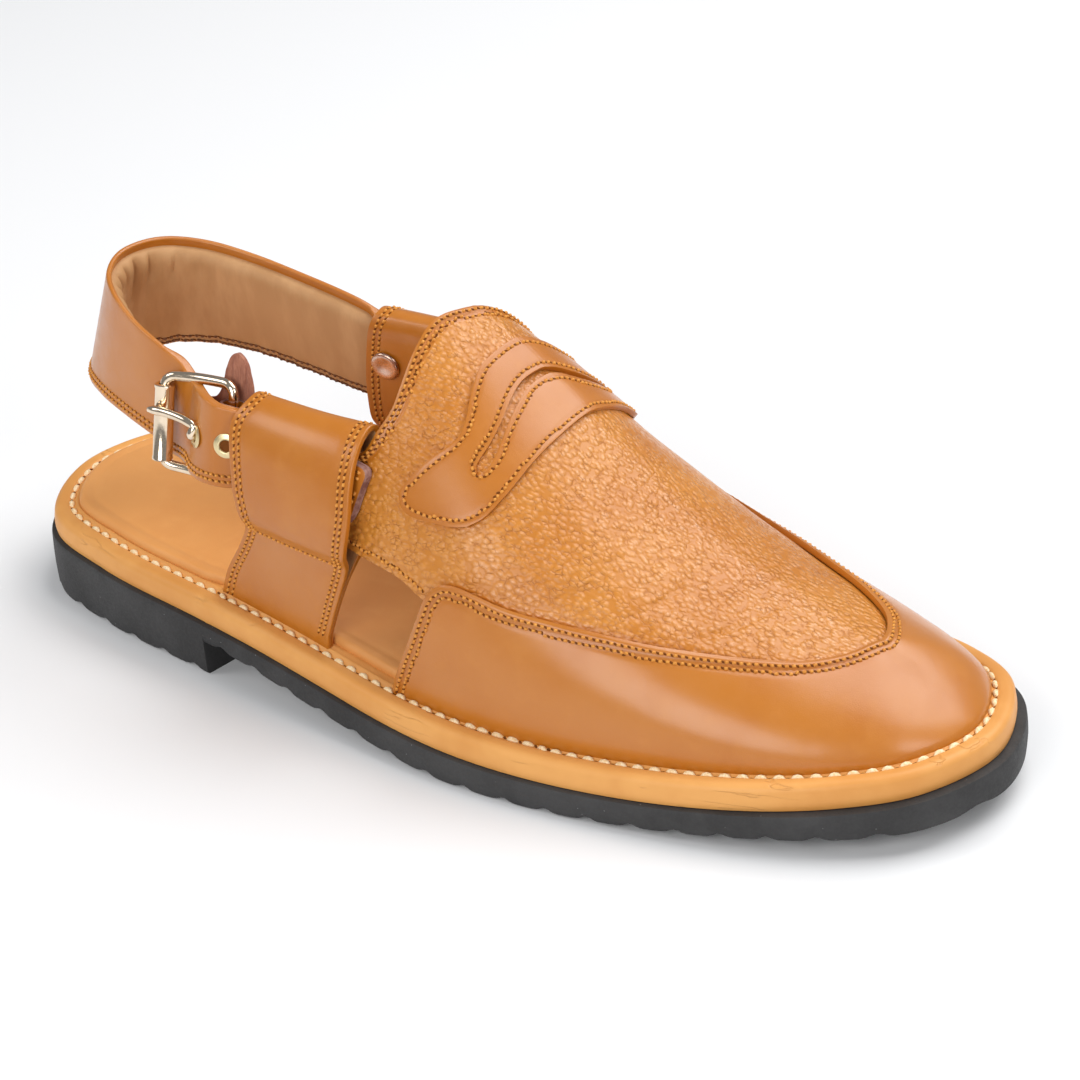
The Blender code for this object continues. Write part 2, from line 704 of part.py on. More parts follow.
def build_buckle(hole):
    ahead, up, out = buckle_axes()
    half = FRAME_HEIGHT / 2
    r = 4.0
    corners = []
    for cx, cz, start in ((FRAME_SPAN - r, half - r, 0), (r, half - r, 90),
                          (r, r - half, 180), (FRAME_SPAN - r, r - half, 270)):
        for k in range(5):
            angle = math.radians(start + 22.5 * k)
            corners.append((cx + r * math.cos(angle), cz + r * math.sin(angle)))
    path = [add(ROLLER_AT, (a, ahead), (h, up)) for a, h in corners]
    new_object("buckle_frame", tube("buckle_frame", path, FRAME_WIRE / 2, 8, closed=True), "brass")

    inner, outer = FRAME_WIRE / 2 + GAP, ROLLER_OUTER / 2
    length = half - r - 0.3
    profile = ((inner, -length), (outer, -length), (outer, length), (inner, length))
    new_object("buckle_roller", turned("buckle_roller", ROLLER_AT, ahead, out, up, profile, 18), "brass")

    hinge = add(ROLLER_AT, (FRAME_SPAN, ahead))
    over = outer + PRONG_WIRE / 2 + GAP
    centre, _, _, straight = hole
    local = [(-3.0, over - 0.8, 6.0), (-0.6, over, 5.2), (3.2, over - 0.1, 3.9), (6.6, over - 1.3, 2.6)]
    path = [add(ROLLER_AT, (a, ahead), (o, out), (h, up)) for a, o, h in local]
    path += [add(centre, (d, straight)) for d in (2.8, 0.0, -2.8)]
    path += [add(hinge, (-8.6, ahead), (-3.1, out), (-0.6, up)), add(hinge, (-3.6, ahead), (-2.7, out), (-1.4, up))]
    wire = PRONG_WIRE / 2
    radii = [wire * 0.7] + [wire] * 8
    for k in range(8):
        angle = math.radians(-96 + 40 * k)
        path.append(add(hinge, (2.35 * math.cos(angle), ahead), (2.35 * math.sin(angle), out), (-1.5, up)))
        radii.append(0.55)
    smooth = through([p + (w,) for p, w in zip(path, radii)], 2)
    prong = tube("buckle_prong", [p[:3] for p in smooth], wire, 8, radii=[p[3] for p in smooth])
    new_object("buckle_prong", prong, "brass")
    return hinge


def build_chape(hinge):
    ahead, up, out = buckle_axes()
    round_bar = FRAME_WIRE / 2 + 0.25 + CHAPE
    rings = []
    for k in range(7):
        h = CHAPE_HEIGHT * (k / 6 - 0.5)
        middle = add(hinge, (h, up))
        z = middle[2] + CHAPE_RISE
        end = (CHAPE_END_X, -form_y(-1, CHAPE_END_X, z) - CHAPE_OFFSET, z)
        gap = add(end, (-1, middle))
        reach = sum(p * q for p, q in zip(gap, ahead))
        shift = sum(p * q for p, q in zip(gap, out))
        rise = sum(p * q for p, q in zip(gap, up))
        ring = []
        for a, o in ((reach, CHAPE), (4.5, CHAPE), (2.0, 2.3), (0.0, round_bar), (-1.95, 1.95),
                     (-round_bar, 0.0), (-1.95, -1.95), (0.0, -round_bar), (2.0, -2.3),
                     (4.5, -CHAPE), (reach, -CHAPE)):
            share = min(max((a - 1.0) / (reach - 1.0), 0.0), 1.0)
            ring.append(add(middle, (a, ahead), (o + shift * share, out), (rise * share, up)))
        rings.append(ring)
    chape = new_object("buckle_chape", loft("buckle_chape", rings), "leather_strap")
    slot = []
    for h in (-3.15, 0.15):
        slot.append([add(hinge, (a, ahead), (o, out), (h, up)) for a, o in ((-6, -6), (3.5, -6), (3.5, 6), (-6, 6))])
    cut(chape, cutter("cut_slot", slot))
    bore = FRAME_WIRE / 2 + 0.25
    ends = [disc(add(hinge, (h, up)), ahead, out, bore, 14) for h in (15.0, -15.0)]
    cut(chape, cutter("cut_hinge", ends))


def build_guard():
    rows = through(GUARD_SHAPE, 2)
    rings = []
    for i, (x, y, low, high) in enumerate(rows):
        a, b = rows[max(i - 1, 0)], rows[min(i + 1, len(rows) - 1)]
        dx, dy = b[0] - a[0], b[1] - a[1]
        size = math.hypot(dx, dy)
        nx, ny = -dy / size * GUARD / 2, dx / size * GUARD / 2
        ring = []
        for z, s in ((low, -1), ((low + high) / 2, -1), (high, -1), (high, 1), ((low + high) / 2, 1), (low, 1)):
            lean = GUARD_LEAN * (z - 67.0)
            ring.append((x + s * nx, y + lean + s * ny, z))
        rings.append(ring)
    new_object("buckle_guard", loft("buckle_guard", rings), "suede_guard")


def build_all():
    build_sole()
    build_upper()
    loop_outer = build_loop("loop_outer", -1, LOOP_OUTER, 0.0)
    loop_inner = build_loop("loop_inner", 1, LOOP_INNER, LOOP_INNER_LIFT)
    strap = build_strap()
    rows = strap_rows()
    prong_hole = strap_hole(rows, *PRONG_HOLE)
    build_eyelet(strap, "eyelet_prong", prong_hole)
    build_eyelet(strap, "eyelet_spare", strap_hole(rows, *SPARE_HOLE))
    hinge = build_buckle(prong_hole)
    build_chape(hinge)
    build_guard()
    build_rivet(loop_outer, "rivet_outer", -1, RIVET_OUTER)
    build_rivet(loop_inner, "rivet_inner", 1, RIVET_INNER)
    widths = [y for _, y in sole_edge(0.0)]
    centre = Matrix.Translation((0.0, -(min(widths) + max(widths)) / 2 * MM, 0.0))
    for obj in list(PARTS.objects) + list(CUTTERS.objects):
        obj.data.transform(centre)


for old in list(bpy.data.objects):
    bpy.data.objects.remove(old)
PARTS = bpy.data.collections.new("peshawari_chappal")
CUTTERS = bpy.data.collections.new("cutters")
bpy.context.scene.collection.children.link(PARTS)
bpy.context.scene.collection.children.link(CUTTERS)
FINISH = {}
for label, colour in MATERIALS.items():
    finish = bpy.data.materials.new(label)
    finish.use_nodes = True
    finish.node_tree.nodes["Principled BSDF"].inputs["Base Color"].default_value = (*colour, 1.0)
    FINISH[label] = finish
build_all()
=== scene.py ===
import math

import bpy
import numpy as np
from mathutils import Matrix, Vector
from mathutils.bvhtree import BVHTree
from mathutils.kdtree import KDTree


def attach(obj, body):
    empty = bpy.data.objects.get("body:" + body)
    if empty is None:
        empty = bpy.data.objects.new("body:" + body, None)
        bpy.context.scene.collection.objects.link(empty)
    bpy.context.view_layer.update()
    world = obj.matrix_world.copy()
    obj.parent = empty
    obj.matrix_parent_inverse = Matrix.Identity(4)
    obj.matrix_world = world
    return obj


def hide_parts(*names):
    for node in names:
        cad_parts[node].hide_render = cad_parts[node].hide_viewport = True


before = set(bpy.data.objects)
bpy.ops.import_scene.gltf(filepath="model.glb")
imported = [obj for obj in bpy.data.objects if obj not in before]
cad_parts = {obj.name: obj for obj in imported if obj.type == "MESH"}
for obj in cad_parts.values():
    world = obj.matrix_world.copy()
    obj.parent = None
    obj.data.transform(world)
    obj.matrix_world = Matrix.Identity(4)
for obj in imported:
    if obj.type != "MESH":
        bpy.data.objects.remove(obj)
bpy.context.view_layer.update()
mm = 0.001
footLine = 4.05  # the foot's middle plane lies this far from the box's middle, in mm
print("frame loaded:", len(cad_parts), "nodes")


def clearSelection():
    bpy.ops.object.select_all(action="DESELECT")


def pick(obj):
    clearSelection()
    obj.select_set(True)
    bpy.context.view_layer.objects.active = obj


def named(obj, name):
    obj.name = name
    obj.data.name = name
    return obj


def addModifier(obj, kind, **settings):
    modifier = obj.modifiers.new(kind.title(), kind)
    for key, value in settings.items():
        setattr(modifier, key, value)
    return modifier


def applyModifiers(obj):
    pick(obj)
    for modifier in list(obj.modifiers):
        bpy.ops.object.modifier_apply(modifier=modifier.name)


def smoothShade(obj, degrees=40):
    pick(obj)
    bpy.ops.object.shade_smooth_by_angle(angle=math.radians(degrees))


def toFrame(points):
    # metres in the frame, from mm with y from the foot's middle plane
    return np.asarray(points, float) * mm + np.array([0, footLine * mm, 0])


def fromFrame(place):
    return place.x / mm, place.y / mm - footLine, place.z / mm


def unit(v):
    v = np.asarray(v, float)
    return v / np.maximum(np.linalg.norm(v, axis=-1, keepdims=True), 1e-12)


def readTable(rows, x, column=1):
    # smooth reading of one column of a table whose first column is the station
    t = np.asarray(rows, float)
    xs, ys = t[:, 0], t[:, column]
    x = np.clip(np.asarray(x, float), xs[0], xs[-1])
    i = np.clip(np.searchsorted(xs, x, side="right") - 1, 0, len(xs) - 2)
    slopes = np.empty(len(xs))
    slopes[1:-1] = (ys[2:] - ys[:-2]) / (xs[2:] - xs[:-2])
    slopes[0], slopes[-1] = (ys[1] - ys[0]) / (xs[1] - xs[0]), (ys[-1] - ys[-2]) / (xs[-1] - xs[-2])
    span = xs[i + 1] - xs[i]
    s = (x - xs[i]) / span
    return (ys[i] * (2 * s**3 - 3 * s**2 + 1) + slopes[i] * span * (s**3 - 2 * s**2 + s)
            + ys[i + 1] * (3 * s**2 - 2 * s**3) + slopes[i + 1] * span * (s**3 - s**2))


def smoothLine(points, steps, closed=False):
    # a smooth curve through points of any dimension
    p = np.asarray(points, float)
    count = len(p)
    out = []
    for i in range(count if closed else count - 1):
        if closed:
            a, b, c, d = (p[(i + k - 1) % count] for k in range(4))
        else:
            a, b, c, d = (p[min(max(i + k - 1, 0), count - 1)] for k in range(4))
        g = [max(np.linalg.norm(v[:3] - u[:3]), 1e-6) ** 0.5 for u, v in ((a, b), (b, c), (c, d))]
        if not closed and i == 0:
            g[0] = g[1]
        if not closed and i == count - 2:
            g[2] = g[1]
        m1 = ((b - a) / g[0] - (c - a) / (g[0] + g[1]) + (c - b) / g[1]) * g[1]
        m2 = ((c - b) / g[1] - (d - b) / (g[1] + g[2]) + (d - c) / g[2]) * g[1]
        for step in range(steps):
            t = step / steps
            out.append(b * (2 * t**3 - 3 * t**2 + 1) + m1 * (t**3 - 2 * t**2 + t)
                       + c * (3 * t**2 - 2 * t**3) + m2 * (t**3 - t**2))
    if not closed:
        out.append(p[-1])
    return np.array(out)


def runLength(points):
    return np.concatenate([[0.0], np.cumsum(np.linalg.norm(np.diff(points, axis=0), axis=1))])


def resample(points, count=None, pitch=None, shares=None):
    # points at equal steps, or at the given shares, of a line's length
    points = np.asarray(points, float)
    run = runLength(points)
    if shares is None:
        count = count or max(int(round(run[-1] / pitch)) + 1, 2)
        shares = np.linspace(0, 1, count)
    want = np.asarray(shares) * run[-1]
    return np.stack([np.interp(want, run, points[:, k]) for k in range(points.shape[1])], axis=1)


def fillSheet(rear, front, low, high, columns, rows, columnShares=None, rowShares=None):
    # blends four border lines into a grid: rear and front run along the columns, low and high along the rows
    s = np.linspace(0, 1, rows) if rowShares is None else np.asarray(rowShares)
    t = np.linspace(0, 1, columns) if columnShares is None else np.asarray(columnShares)
    r, f = resample(rear, shares=t), resample(front, shares=t)
    a, b = resample(low, shares=s), resample(high, shares=s)
    t, s = t[:, None, None], s[None, :, None]
    across = (1 - s) * r[:, None] + s * f[:, None] + (1 - t) * a[None] + t * b[None]
    corners = (1 - s) * (1 - t) * r[0] + (1 - s) * t * r[-1] + s * (1 - t) * f[0] + s * t * f[-1]
    return across - corners


def sheetObject(name, points, closedColumns=False, keep=None, kinds=None):
    # a plane grid whose vertices are laid on the given points, in mm; normals face cross(column, row);
    # keep and kinds say for each cell whether it stays and which finish it takes
    columns, rows = points.shape[:2]
    clearSelection()
    bpy.ops.mesh.primitive_grid_add(x_subdivisions=columns - 1, y_subdivisions=rows - 1, size=1)
    obj = named(bpy.context.object, name)
    flat = np.empty(len(obj.data.vertices) * 3, np.float32)
    obj.data.vertices.foreach_get("co", flat)
    flat = flat.reshape(-1, 3)
    middles = np.empty(len(obj.data.polygons) * 3, np.float32)
    obj.data.polygons.foreach_get("center", middles)
    middles = middles.reshape(-1, 3)
    c = np.rint((flat[:, 0] + 0.5) * (columns - 1)).astype(int)
    r = np.rint((flat[:, 1] + 0.5) * (rows - 1)).astype(int)
    cells = (np.floor((middles[:, 0] + 0.5) * (columns - 1)).astype(int),
             np.floor((middles[:, 1] + 0.5) * (rows - 1)).astype(int))
    # empty slots, which the wall and rim modifiers need and settle fills
    for _ in range(3):
        obj.data.materials.append(None)
    obj.data.vertices.foreach_set("co", toFrame(points[c, r]).astype(np.float32).ravel())
    while obj.data.uv_layers:
        obj.data.uv_layers.remove(obj.data.uv_layers[0])
    if kinds is not None:
        obj.data.polygons.foreach_set("material_index", kinds[cells].astype(np.int32))
    obj.data.update()
    if keep is not None:
        gone = ~keep[cells]
        obj.data.vertices.foreach_set("select", np.zeros(len(obj.data.vertices), bool))
        obj.data.edges.foreach_set("select", np.zeros(len(obj.data.edges), bool))
        obj.data.polygons.foreach_set("select", gone)
        bpy.context.tool_settings.mesh_select_mode = (False, False, True)
        pick(obj)
        bpy.ops.object.mode_set(mode="EDIT")
        bpy.ops.mesh.delete(type="FACE")
        bpy.ops.object.mode_set(mode="OBJECT")
        bpy.context.tool_settings.mesh_select_mode = (True, False, False)
    if closedColumns:
        pick(obj)
        bpy.ops.object.mode_set(mode="EDIT")
        bpy.ops.mesh.select_all(action="SELECT")
        bpy.ops.mesh.remove_doubles(threshold=1e-6)
        bpy.ops.object.mode_set(mode="OBJECT")
    return obj


def giveWall(obj, thickness, edge, segments=2, innerSlot=0, rimSlot=0, offset=-1.0, group=""):
    # a sheet becomes leather of a thickness with rounded edges; group scales the wall from place to place
    addModifier(obj, "SOLIDIFY", thickness=thickness * mm, offset=offset, use_even_offset=False, use_rim=True,
                vertex_group=group, material_offset=innerSlot, material_offset_rim=rimSlot)
    addModifier(obj, "BEVEL", width=edge * mm, segments=segments, limit_method="ANGLE",
                angle_limit=math.radians(50), material=rimSlot)
    applyModifiers(obj)
    smoothShade(obj, 45)
    return obj


# Foot form and sole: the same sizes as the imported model, in mm, with y from the foot's middle plane
sole = {
    "length": 296.0, "heelEndY": 0.3, "toeEndY": 2.0, "breastX": -67.0,
    "midsoleHeight": 6.9, "midsoleInset": 1.5, "gap": 0.3, "featherInset": 8.0,
    "edge": ((-136.0, 28.0, 30.0), (-110.0, 38.2, 34.0), (-70.0, 44.8, 30.6), (-25.0, 51.2, 32.4),
             (20.0, 56.4, 43.6), (60.0, 53.6, 48.0), (95.0, 46.4, 47.0), (122.0, 35.2, 39.6),
             (139.0, 21.8, 27.6)),
    "ledge": ((-148.0, 17.6), (-100.0, 16.5), (-50.0, 14.6), (0.0, 9.4), (50.0, 7.8), (100.0, 10.6),
              (148.0, 15.8)),
    "underside": ((-67.0, 9.9), (-64.5, 9.8), (-50.0, 8.6), (-30.0, 5.6), (-8.0, 2.6), (12.0, 0.5),
                  (22.0, 0.0), (46.0, 0.0), (60.0, 0.5), (90.0, 2.5), (120.0, 4.4), (150.0, 6.4)),
}
form = {
    "shape": ((-60.0, 36.0, 27.0, 1.5, 127.0, 2.0, 2.0), (-32.0, 41.0, 31.0, 2.0, 118.0, 2.0, 2.0),
              (-15.0, 44.0, 33.0, 2.5, 109.5, 2.0, 2.0), (0.0, 46.5, 36.0, 3.0, 101.5, 2.2, 1.8),
              (20.0, 48.8, 39.5, 3.0, 87.0, 2.6, 1.65), (40.0, 48.5, 41.5, 3.0, 71.8, 2.6, 1.65),
              (60.0, 46.5, 41.5, 3.0, 57.4, 2.6, 1.75), (80.0, 43.0, 40.5, 3.0, 47.2, 2.5, 1.8),
              (100.0, 36.8, 37.6, 3.0, 40.6, 2.3, 1.7), (112.0, 32.5, 34.6, 3.0, 37.6, 2.0, 1.6)),
    "toeSquareness": 1.2, "spineEnd": 112.0, "tuck": 9.0,
}


def soleEdge(inset, steps=12):
    corners = [(-sole["length"] / 2, sole["heelEndY"])]
    corners += [(x, -outer) for x, outer, _ in sole["edge"]]
    corners += [(sole["length"] / 2, sole["toeEndY"])]
    corners += [(x, inner) for x, _, inner in reversed(sole["edge"])]
    ring = smoothLine(corners, steps, closed=True)
    along = unit(np.roll(ring, -1, axis=0) - np.roll(ring, 1, axis=0))
    return ring + inset * np.stack([-along[:, 1], along[:, 0]], axis=1)


def ledgeZ(x):
    return readTable(sole["ledge"], x)


def midsoleTop(x):
    return ledgeZ(x) + sole["gap"] + sole["midsoleHeight"]


def featherZ(x):
    return midsoleTop(x) + sole["gap"]


featherRing = soleEdge(sole["featherInset"], 24)
featherTip = int(np.argmax(featherRing[:, 0]))
featherOuter = featherRing[:featherTip + 1]
featherInner = np.concatenate([featherRing[featherTip:], featherRing[:1]])[::-1]


def featherY(side, x):
    line = featherOuter if side < 0 else featherInner
    return np.abs(np.interp(x, line[:, 0], line[:, 1]))


def formY(side, x, z):
    # how far out the foot form is at a station and a height; side is -1 outer, 1 inner
    half = readTable(form["shape"], x, 1 if side < 0 else 2)
    ridge, top, full, sharp = (readTable(form["shape"], x, c) for c in (3, 4, 5, 6))
    base = featherZ(x)
    up = np.clip((z - base) / (top - base), 0, 1)
    return (half - side * ridge) * (1 - up**full) ** (1 / sharp) + side * ridge


def onForm(x, bearing):
    # the form's surface by station and bearing: -90 outer feather edge, 0 ridge, 90 inner feather edge
    x, bearing = np.broadcast_arrays(np.asarray(x, float), np.asarray(bearing, float))
    side = np.where(bearing < 0, -1.0, 1.0)
    angle = np.radians(90 - np.clip(np.abs(bearing), 0, 90))
    ridge, top, full, sharp = (readTable(form["shape"], x, c) for c in (3, 4, 5, 6))
    half = np.where(side < 0, readTable(form["shape"], x, 1), readTable(form["shape"], x, 2))
    foot = np.where(side < 0, featherY(-1, x), featherY(1, x))
    blend = np.clip((form["spineEnd"] - x) / 40, 0, 1)
    wide = side * (foot + (half - foot) * blend)
    base = featherZ(x)
    out = 1 - np.clip(np.cos(angle), 0, 1) ** (2 / sharp)
    up = np.sin(angle) ** (2 / full)
    z = base + (top - base) * up
    y = wide + (ridge - wide) * out + (side * foot - wide) * np.exp(-(z - base) / form["tuck"])
    return np.stack([x, y, z], axis=-1)


def toeColumn(x, y, rows):
    # a line of the form ahead of the ridge's end, from the feather edge up to that end
    end = form["spineEnd"]
    ridge = np.array([end, readTable(form["shape"], end, 3), readTable(form["shape"], end, 4)])
    foot = np.array([x, y, featherZ(x)])
    turn = abs(math.atan2(y - ridge[1], x - end)) / (math.pi / 2)
    full, sharp = (form["toeSquareness"] + (readTable(form["shape"], end, c) - form["toeSquareness"])
                   * turn**1.5 for c in (5, 6))
    angle = np.linspace(0, math.pi / 2, rows)
    out = 1 - np.clip(np.cos(angle), 0, 1) ** (2 / sharp)
    up = np.sin(angle) ** (2 / full)
    plan = foot[:2] + (ridge[:2] - foot[:2]) * out[:, None]
    return np.concatenate([plan, (foot[2] + (ridge[2] - foot[2]) * up)[:, None]], axis=1)


def makeLast():
    # the foot form as one dense sheet, which the leather is laid on and which is removed at the end
    rows = 70
    bearings = np.linspace(90, 0, rows)
    stations = np.linspace(-34, form["spineEnd"], 130)
    outer = [onForm(x, -bearings) for x in stations]
    inner = [onForm(x, bearings) for x in stations[::-1]]
    fan = featherRing[featherRing[:, 0] > form["spineEnd"] + 0.2]
    fan = fan[np.argsort(np.arctan2(fan[:, 1] - 3.0, fan[:, 0] - form["spineEnd"]))]
    toe = [toeColumn(x, y, rows) for x, y in fan]
    columns = [resample(c, count=rows) for c in outer + toe + inner]
    return sheetObject("last", np.array(columns))


def treeOf(obj):
    return BVHTree.FromObject(obj, bpy.context.evaluated_depsgraph_get())


last = makeLast()
lastTree = treeOf(last)


def surfacePoints(tree, points):
    # nearest points of a surface and its outward directions there, for points in mm
    places, outs = [], []
    for p in np.asarray(points, float).reshape(-1, 3):
        at, out, _, _ = tree.find_nearest(Vector((p[0] * mm, (p[1] + footLine) * mm, p[2] * mm)))
        places.append(fromFrame(at))
        outs.append(tuple(out))
    shape = np.shape(points)
    return np.array(places).reshape(shape), np.array(outs).reshape(shape)


print("form ready")


# Finishes, by name. A signal is a node's output that can be used in sums.
finishes = {}


class Signal:
    def __init__(self, paint, socket):
        self.paint = paint
        self.socket = socket

    def combine(self, operation, other, swapped=False):
        pair = (other, self) if swapped else (self, other)
        return self.paint.node("Math", {"operation": operation}, {0: pair[0], 1: pair[1]})

    def __radd__(self, other):
        return self.combine("ADD", other, True)

    def __sub__(self, other):
        return self.combine("SUBTRACT", other)

    def __rsub__(self, other):
        return self.combine("SUBTRACT", other, True)

    def __mul__(self, other):
        return self.combine("MULTIPLY", other)

    def __rmul__(self, other):
        return self.combine("MULTIPLY", other, True)


class Paint:
    def __init__(self, name, **fixed):
        self.material = bpy.data.materials.new(name)
        finishes[name] = self.material
        self.material.use_nodes = True
        self.tree = self.material.node_tree
        self.shader = self.tree.nodes["Principled BSDF"]
        for key, value in fixed.items():
            socket = self.shader.inputs[key.replace("_", " ")]
            socket.default_value = (*value, 1.0) if isinstance(value, tuple) else value
        self.place = self.node("TexCoord", output="Object")

    def node(self, kind, settings=None, inputs=None, output=0):
        made = self.tree.nodes.new("ShaderNode" + kind)
        for key, value in (settings or {}).items():
            setattr(made, key, value)
        for key, value in (inputs or {}).items():
            socket = made.inputs[key]
            if isinstance(value, Signal):
                self.tree.links.new(value.socket, socket)
            elif isinstance(value, tuple) and len(value) == 3 and socket.type == "RGBA":
                socket.default_value = (*value, 1.0)
            else:
                socket.default_value = value
        return Signal(self, made.outputs[output])

    def feed(self, name, signal):
        self.tree.links.new(signal.socket, self.shader.inputs[name])

    def noise(self, scale, detail=3.0, roughness=0.55, stretch=None, distortion=0.0):
        place = self.place
        if stretch:
            place = self.node("Mapping", inputs={"Vector": place, "Scale": stretch})
        return self.node("TexNoise", inputs={"Vector": place, "Scale": scale, "Detail": detail,
                                             "Roughness": roughness, "Distortion": distortion})

    def cells(self, scale, feature="F1", smooth=None, place=None):
        inputs = {"Vector": place or self.place, "Scale": scale}
        if smooth is not None:
            inputs["Smoothness"] = smooth
        return self.node("TexVoronoi", {"feature": feature}, inputs)

    def warped(self, scale, amount):
        # the place moved about by noise, so that a pattern loses its regular look
        wobble = self.node("TexNoise", inputs={"Vector": self.place, "Scale": scale, "Detail": 2.0},
                           output="Color")
        centred = self.node("VectorMath", {"operation": "SUBTRACT"}, {0: wobble, 1: (0.5, 0.5, 0.5)})
        scaled = self.node("VectorMath", {"operation": "SCALE"}, {0: centred, "Scale": amount})
        return self.node("VectorMath", {"operation": "ADD"}, {0: self.place, 1: scaled})

    def level(self, signal, low, high, outLow=0.0, outHigh=1.0):
        return self.node("MapRange", {"interpolation_type": "SMOOTHSTEP"}, {
            "Value": signal, "From Min": low, "From Max": high, "To Min": outLow, "To Max": outHigh})

    def mix(self, share, first, second):
        made = self.tree.nodes.new("ShaderNodeMix")
        made.data_type = "RGBA"
        for index, value in ((0, share), (6, first), (7, second)):
            if isinstance(value, Signal):
                self.tree.links.new(value.socket, made.inputs[index])
            elif index:
                made.inputs[index].default_value = (*value, 1.0)
            else:
                made.inputs[index].default_value = value
        return Signal(self, made.outputs[2])

    def bumps(self, *layers):
        # layers of (height signal, distance in mm, strength), the finest last
        normal = None
        for height, distance, strength in layers:
            inputs = {"Height": height, "Distance": distance * mm, "Strength": strength}
            if normal:
                inputs["Normal"] = normal
            normal = self.node("Bump", inputs=inputs)
        self.feed("Normal", normal)


leather = {
    "smooth": (0.520, 0.172, 0.012), "smoothDeep": (0.480, 0.148, 0.008),
    "smoothPale": (0.560, 0.200, 0.020),
    # the darkest pebble tone is painted shade, laid in the creases and between the domes
    "pebble": (0.575, 0.202, 0.021), "pebbleShade": (0.300, 0.075, 0.005),
    "pebblePale": (0.640, 0.248, 0.036),
    # the last welt tone is painted shade, laid along its wrinkles
    "welt": (0.780, 0.372, 0.100), "weltDeep": (0.690, 0.298, 0.068), "weltWrinkleShade": (0.420, 0.120, 0.012),
    "footbed": (0.760, 0.345, 0.100), "footbedDeep": (0.720, 0.310, 0.085),
    "footbedPale": (0.800, 0.385, 0.125),
    "lining": (0.600, 0.340, 0.158), "liningDeep": (0.500, 0.265, 0.112),
    "rawEdge": (0.200, 0.090, 0.075), "rawEdgePale": (0.400, 0.230, 0.190),
    "suede": (0.460, 0.190, 0.115), "suedeDeep": (0.270, 0.092, 0.055), "suedePale": (0.640, 0.320, 0.220),
}


def smoothLeather(name, base, deep, pale, roughness=0.36, grain=1.0, coat=0.45):
    # slow clouds of tone, fine mottling and pores
    paint = Paint(name, Coat_Roughness=0.26, Specular_IOR_Level=0.38)
    cloud = paint.noise(22, 4, 0.6)
    mottle = paint.noise(160, 4, 0.6)
    tone = paint.mix(paint.level(cloud, 0.38, 0.62), deep, base)
    tone = paint.mix(paint.level(mottle, 0.5, 0.72, 0, 0.35), tone, pale)
    fine = paint.cells(2300, "DISTANCE_TO_EDGE", place=paint.warped(1500, 0.0005))
    pores = paint.level(fine, 0.0, 0.16)
    tone = paint.mix(0.10 * (1 - pores), tone, deep)
    paint.feed("Base Color", tone)
    paint.feed("Roughness", paint.level(mottle, 0.3, 0.7, roughness - 0.05, roughness + 0.07))
    paint.feed("Coat Weight", paint.level(cloud, 0.3, 0.7, coat, coat * 1.8))
    soft = paint.noise(75, 3, 0.5, distortion=0.3)
    paint.bumps((soft, 0.6, 0.22), (paint.noise(700, 3, 0.6), 0.10, 0.34 * grain),
                (pores, 0.04, 0.35 * grain))


def pebbledLeather(name):
    # small glossy domes, longer along the shoe, parted by short creases that come and go; creases and dome
    # sides get painted shade
    paint = Paint(name, Coat_Roughness=0.18, Specular_IOR_Level=0.45)
    place = paint.node("Mapping", inputs={"Vector": paint.warped(260, 0.0013), "Scale": (0.66, 1.0, 0.95)})
    heart = paint.cells(760, "SMOOTH_F1", smooth=0.35, place=place)
    parting = paint.cells(760, "DISTANCE_TO_EDGE", place=place)
    domes = 1 - paint.level(heart, 0.05, 0.75)
    coming = paint.level(paint.noise(560, 2, 0.5, stretch=(0.6, 1.0, 1.0)), 0.47, 0.64)
    patch = paint.level(paint.noise(80, 2, 0.5), 0.30, 0.62)
    creases = (1 - paint.level(parting, 0.0, 0.11)) * coming * (0.5 + 0.5 * patch)
    cloud = paint.noise(34, 3, 0.6)
    top = paint.mix(paint.level(cloud, 0.35, 0.65), leather["pebble"], leather["pebblePale"])
    # painted shade: the dome sides are darkened here, and the creases on the next line
    top = paint.mix(0.22 * paint.level(domes, 0.55, 0.0), top, leather["pebbleShade"])
    paint.feed("Base Color", paint.mix(0.50 * creases, top, leather["pebbleShade"]))
    paint.feed("Roughness", paint.level(creases, 0.0, 0.8, 0.34, 0.55))
    paint.feed("Coat Weight", paint.level(domes, 0.2, 0.9, 0.10, 0.75))
    paint.bumps((paint.noise(120, 3, 0.5), 0.5, 0.35), (domes, 0.42, 0.80), (1 - creases, 0.22, 0.55),
                (paint.noise(1700, 2, 0.5), 0.03, 0.30))


def weltLeather(name):
    paint = Paint(name, Coat_Roughness=0.35, Specular_IOR_Level=0.4)
    cloud = paint.noise(30, 4, 0.6)
    tone = paint.mix(paint.level(cloud, 0.35, 0.65), leather["weltDeep"], leather["welt"])
    # thin wrinkles along the edge, only here and there, with painted shade along them
    across = paint.noise(90, 3, 0.5, stretch=(0.25, 0.5, 2.6), distortion=0.2)
    lines = 1 - paint.level(paint.node("Math", {"operation": "ABSOLUTE"}, {0: across - 0.5}), 0.0, 0.010)
    where = paint.level(paint.noise(60, 2, 0.5), 0.56, 0.66)
    wrinkles = lines * where
    # painted shade: the wrinkle lines are darkened
    tone = paint.mix(0.15 * wrinkles, tone, leather["weltWrinkleShade"])
    streaks = paint.noise(190, 3, 0.6, stretch=(0.20, 0.6, 2.0))
    tone = paint.mix(paint.level(streaks, 0.55, 0.80, 0.0, 0.40), tone, leather["weltDeep"])
    paint.feed("Base Color", tone)
    paint.feed("Roughness", paint.level(cloud, 0.3, 0.7, 0.46, 0.56))
    paint.feed("Coat Weight", paint.level(cloud, 0.3, 0.7, 0.02, 0.08))
    paint.bumps((1 - wrinkles, 0.35, 0.6), (paint.noise(420, 4, 0.6), 0.15, 0.35),
                (paint.noise(2600, 2, 0.5), 0.04, 0.3))


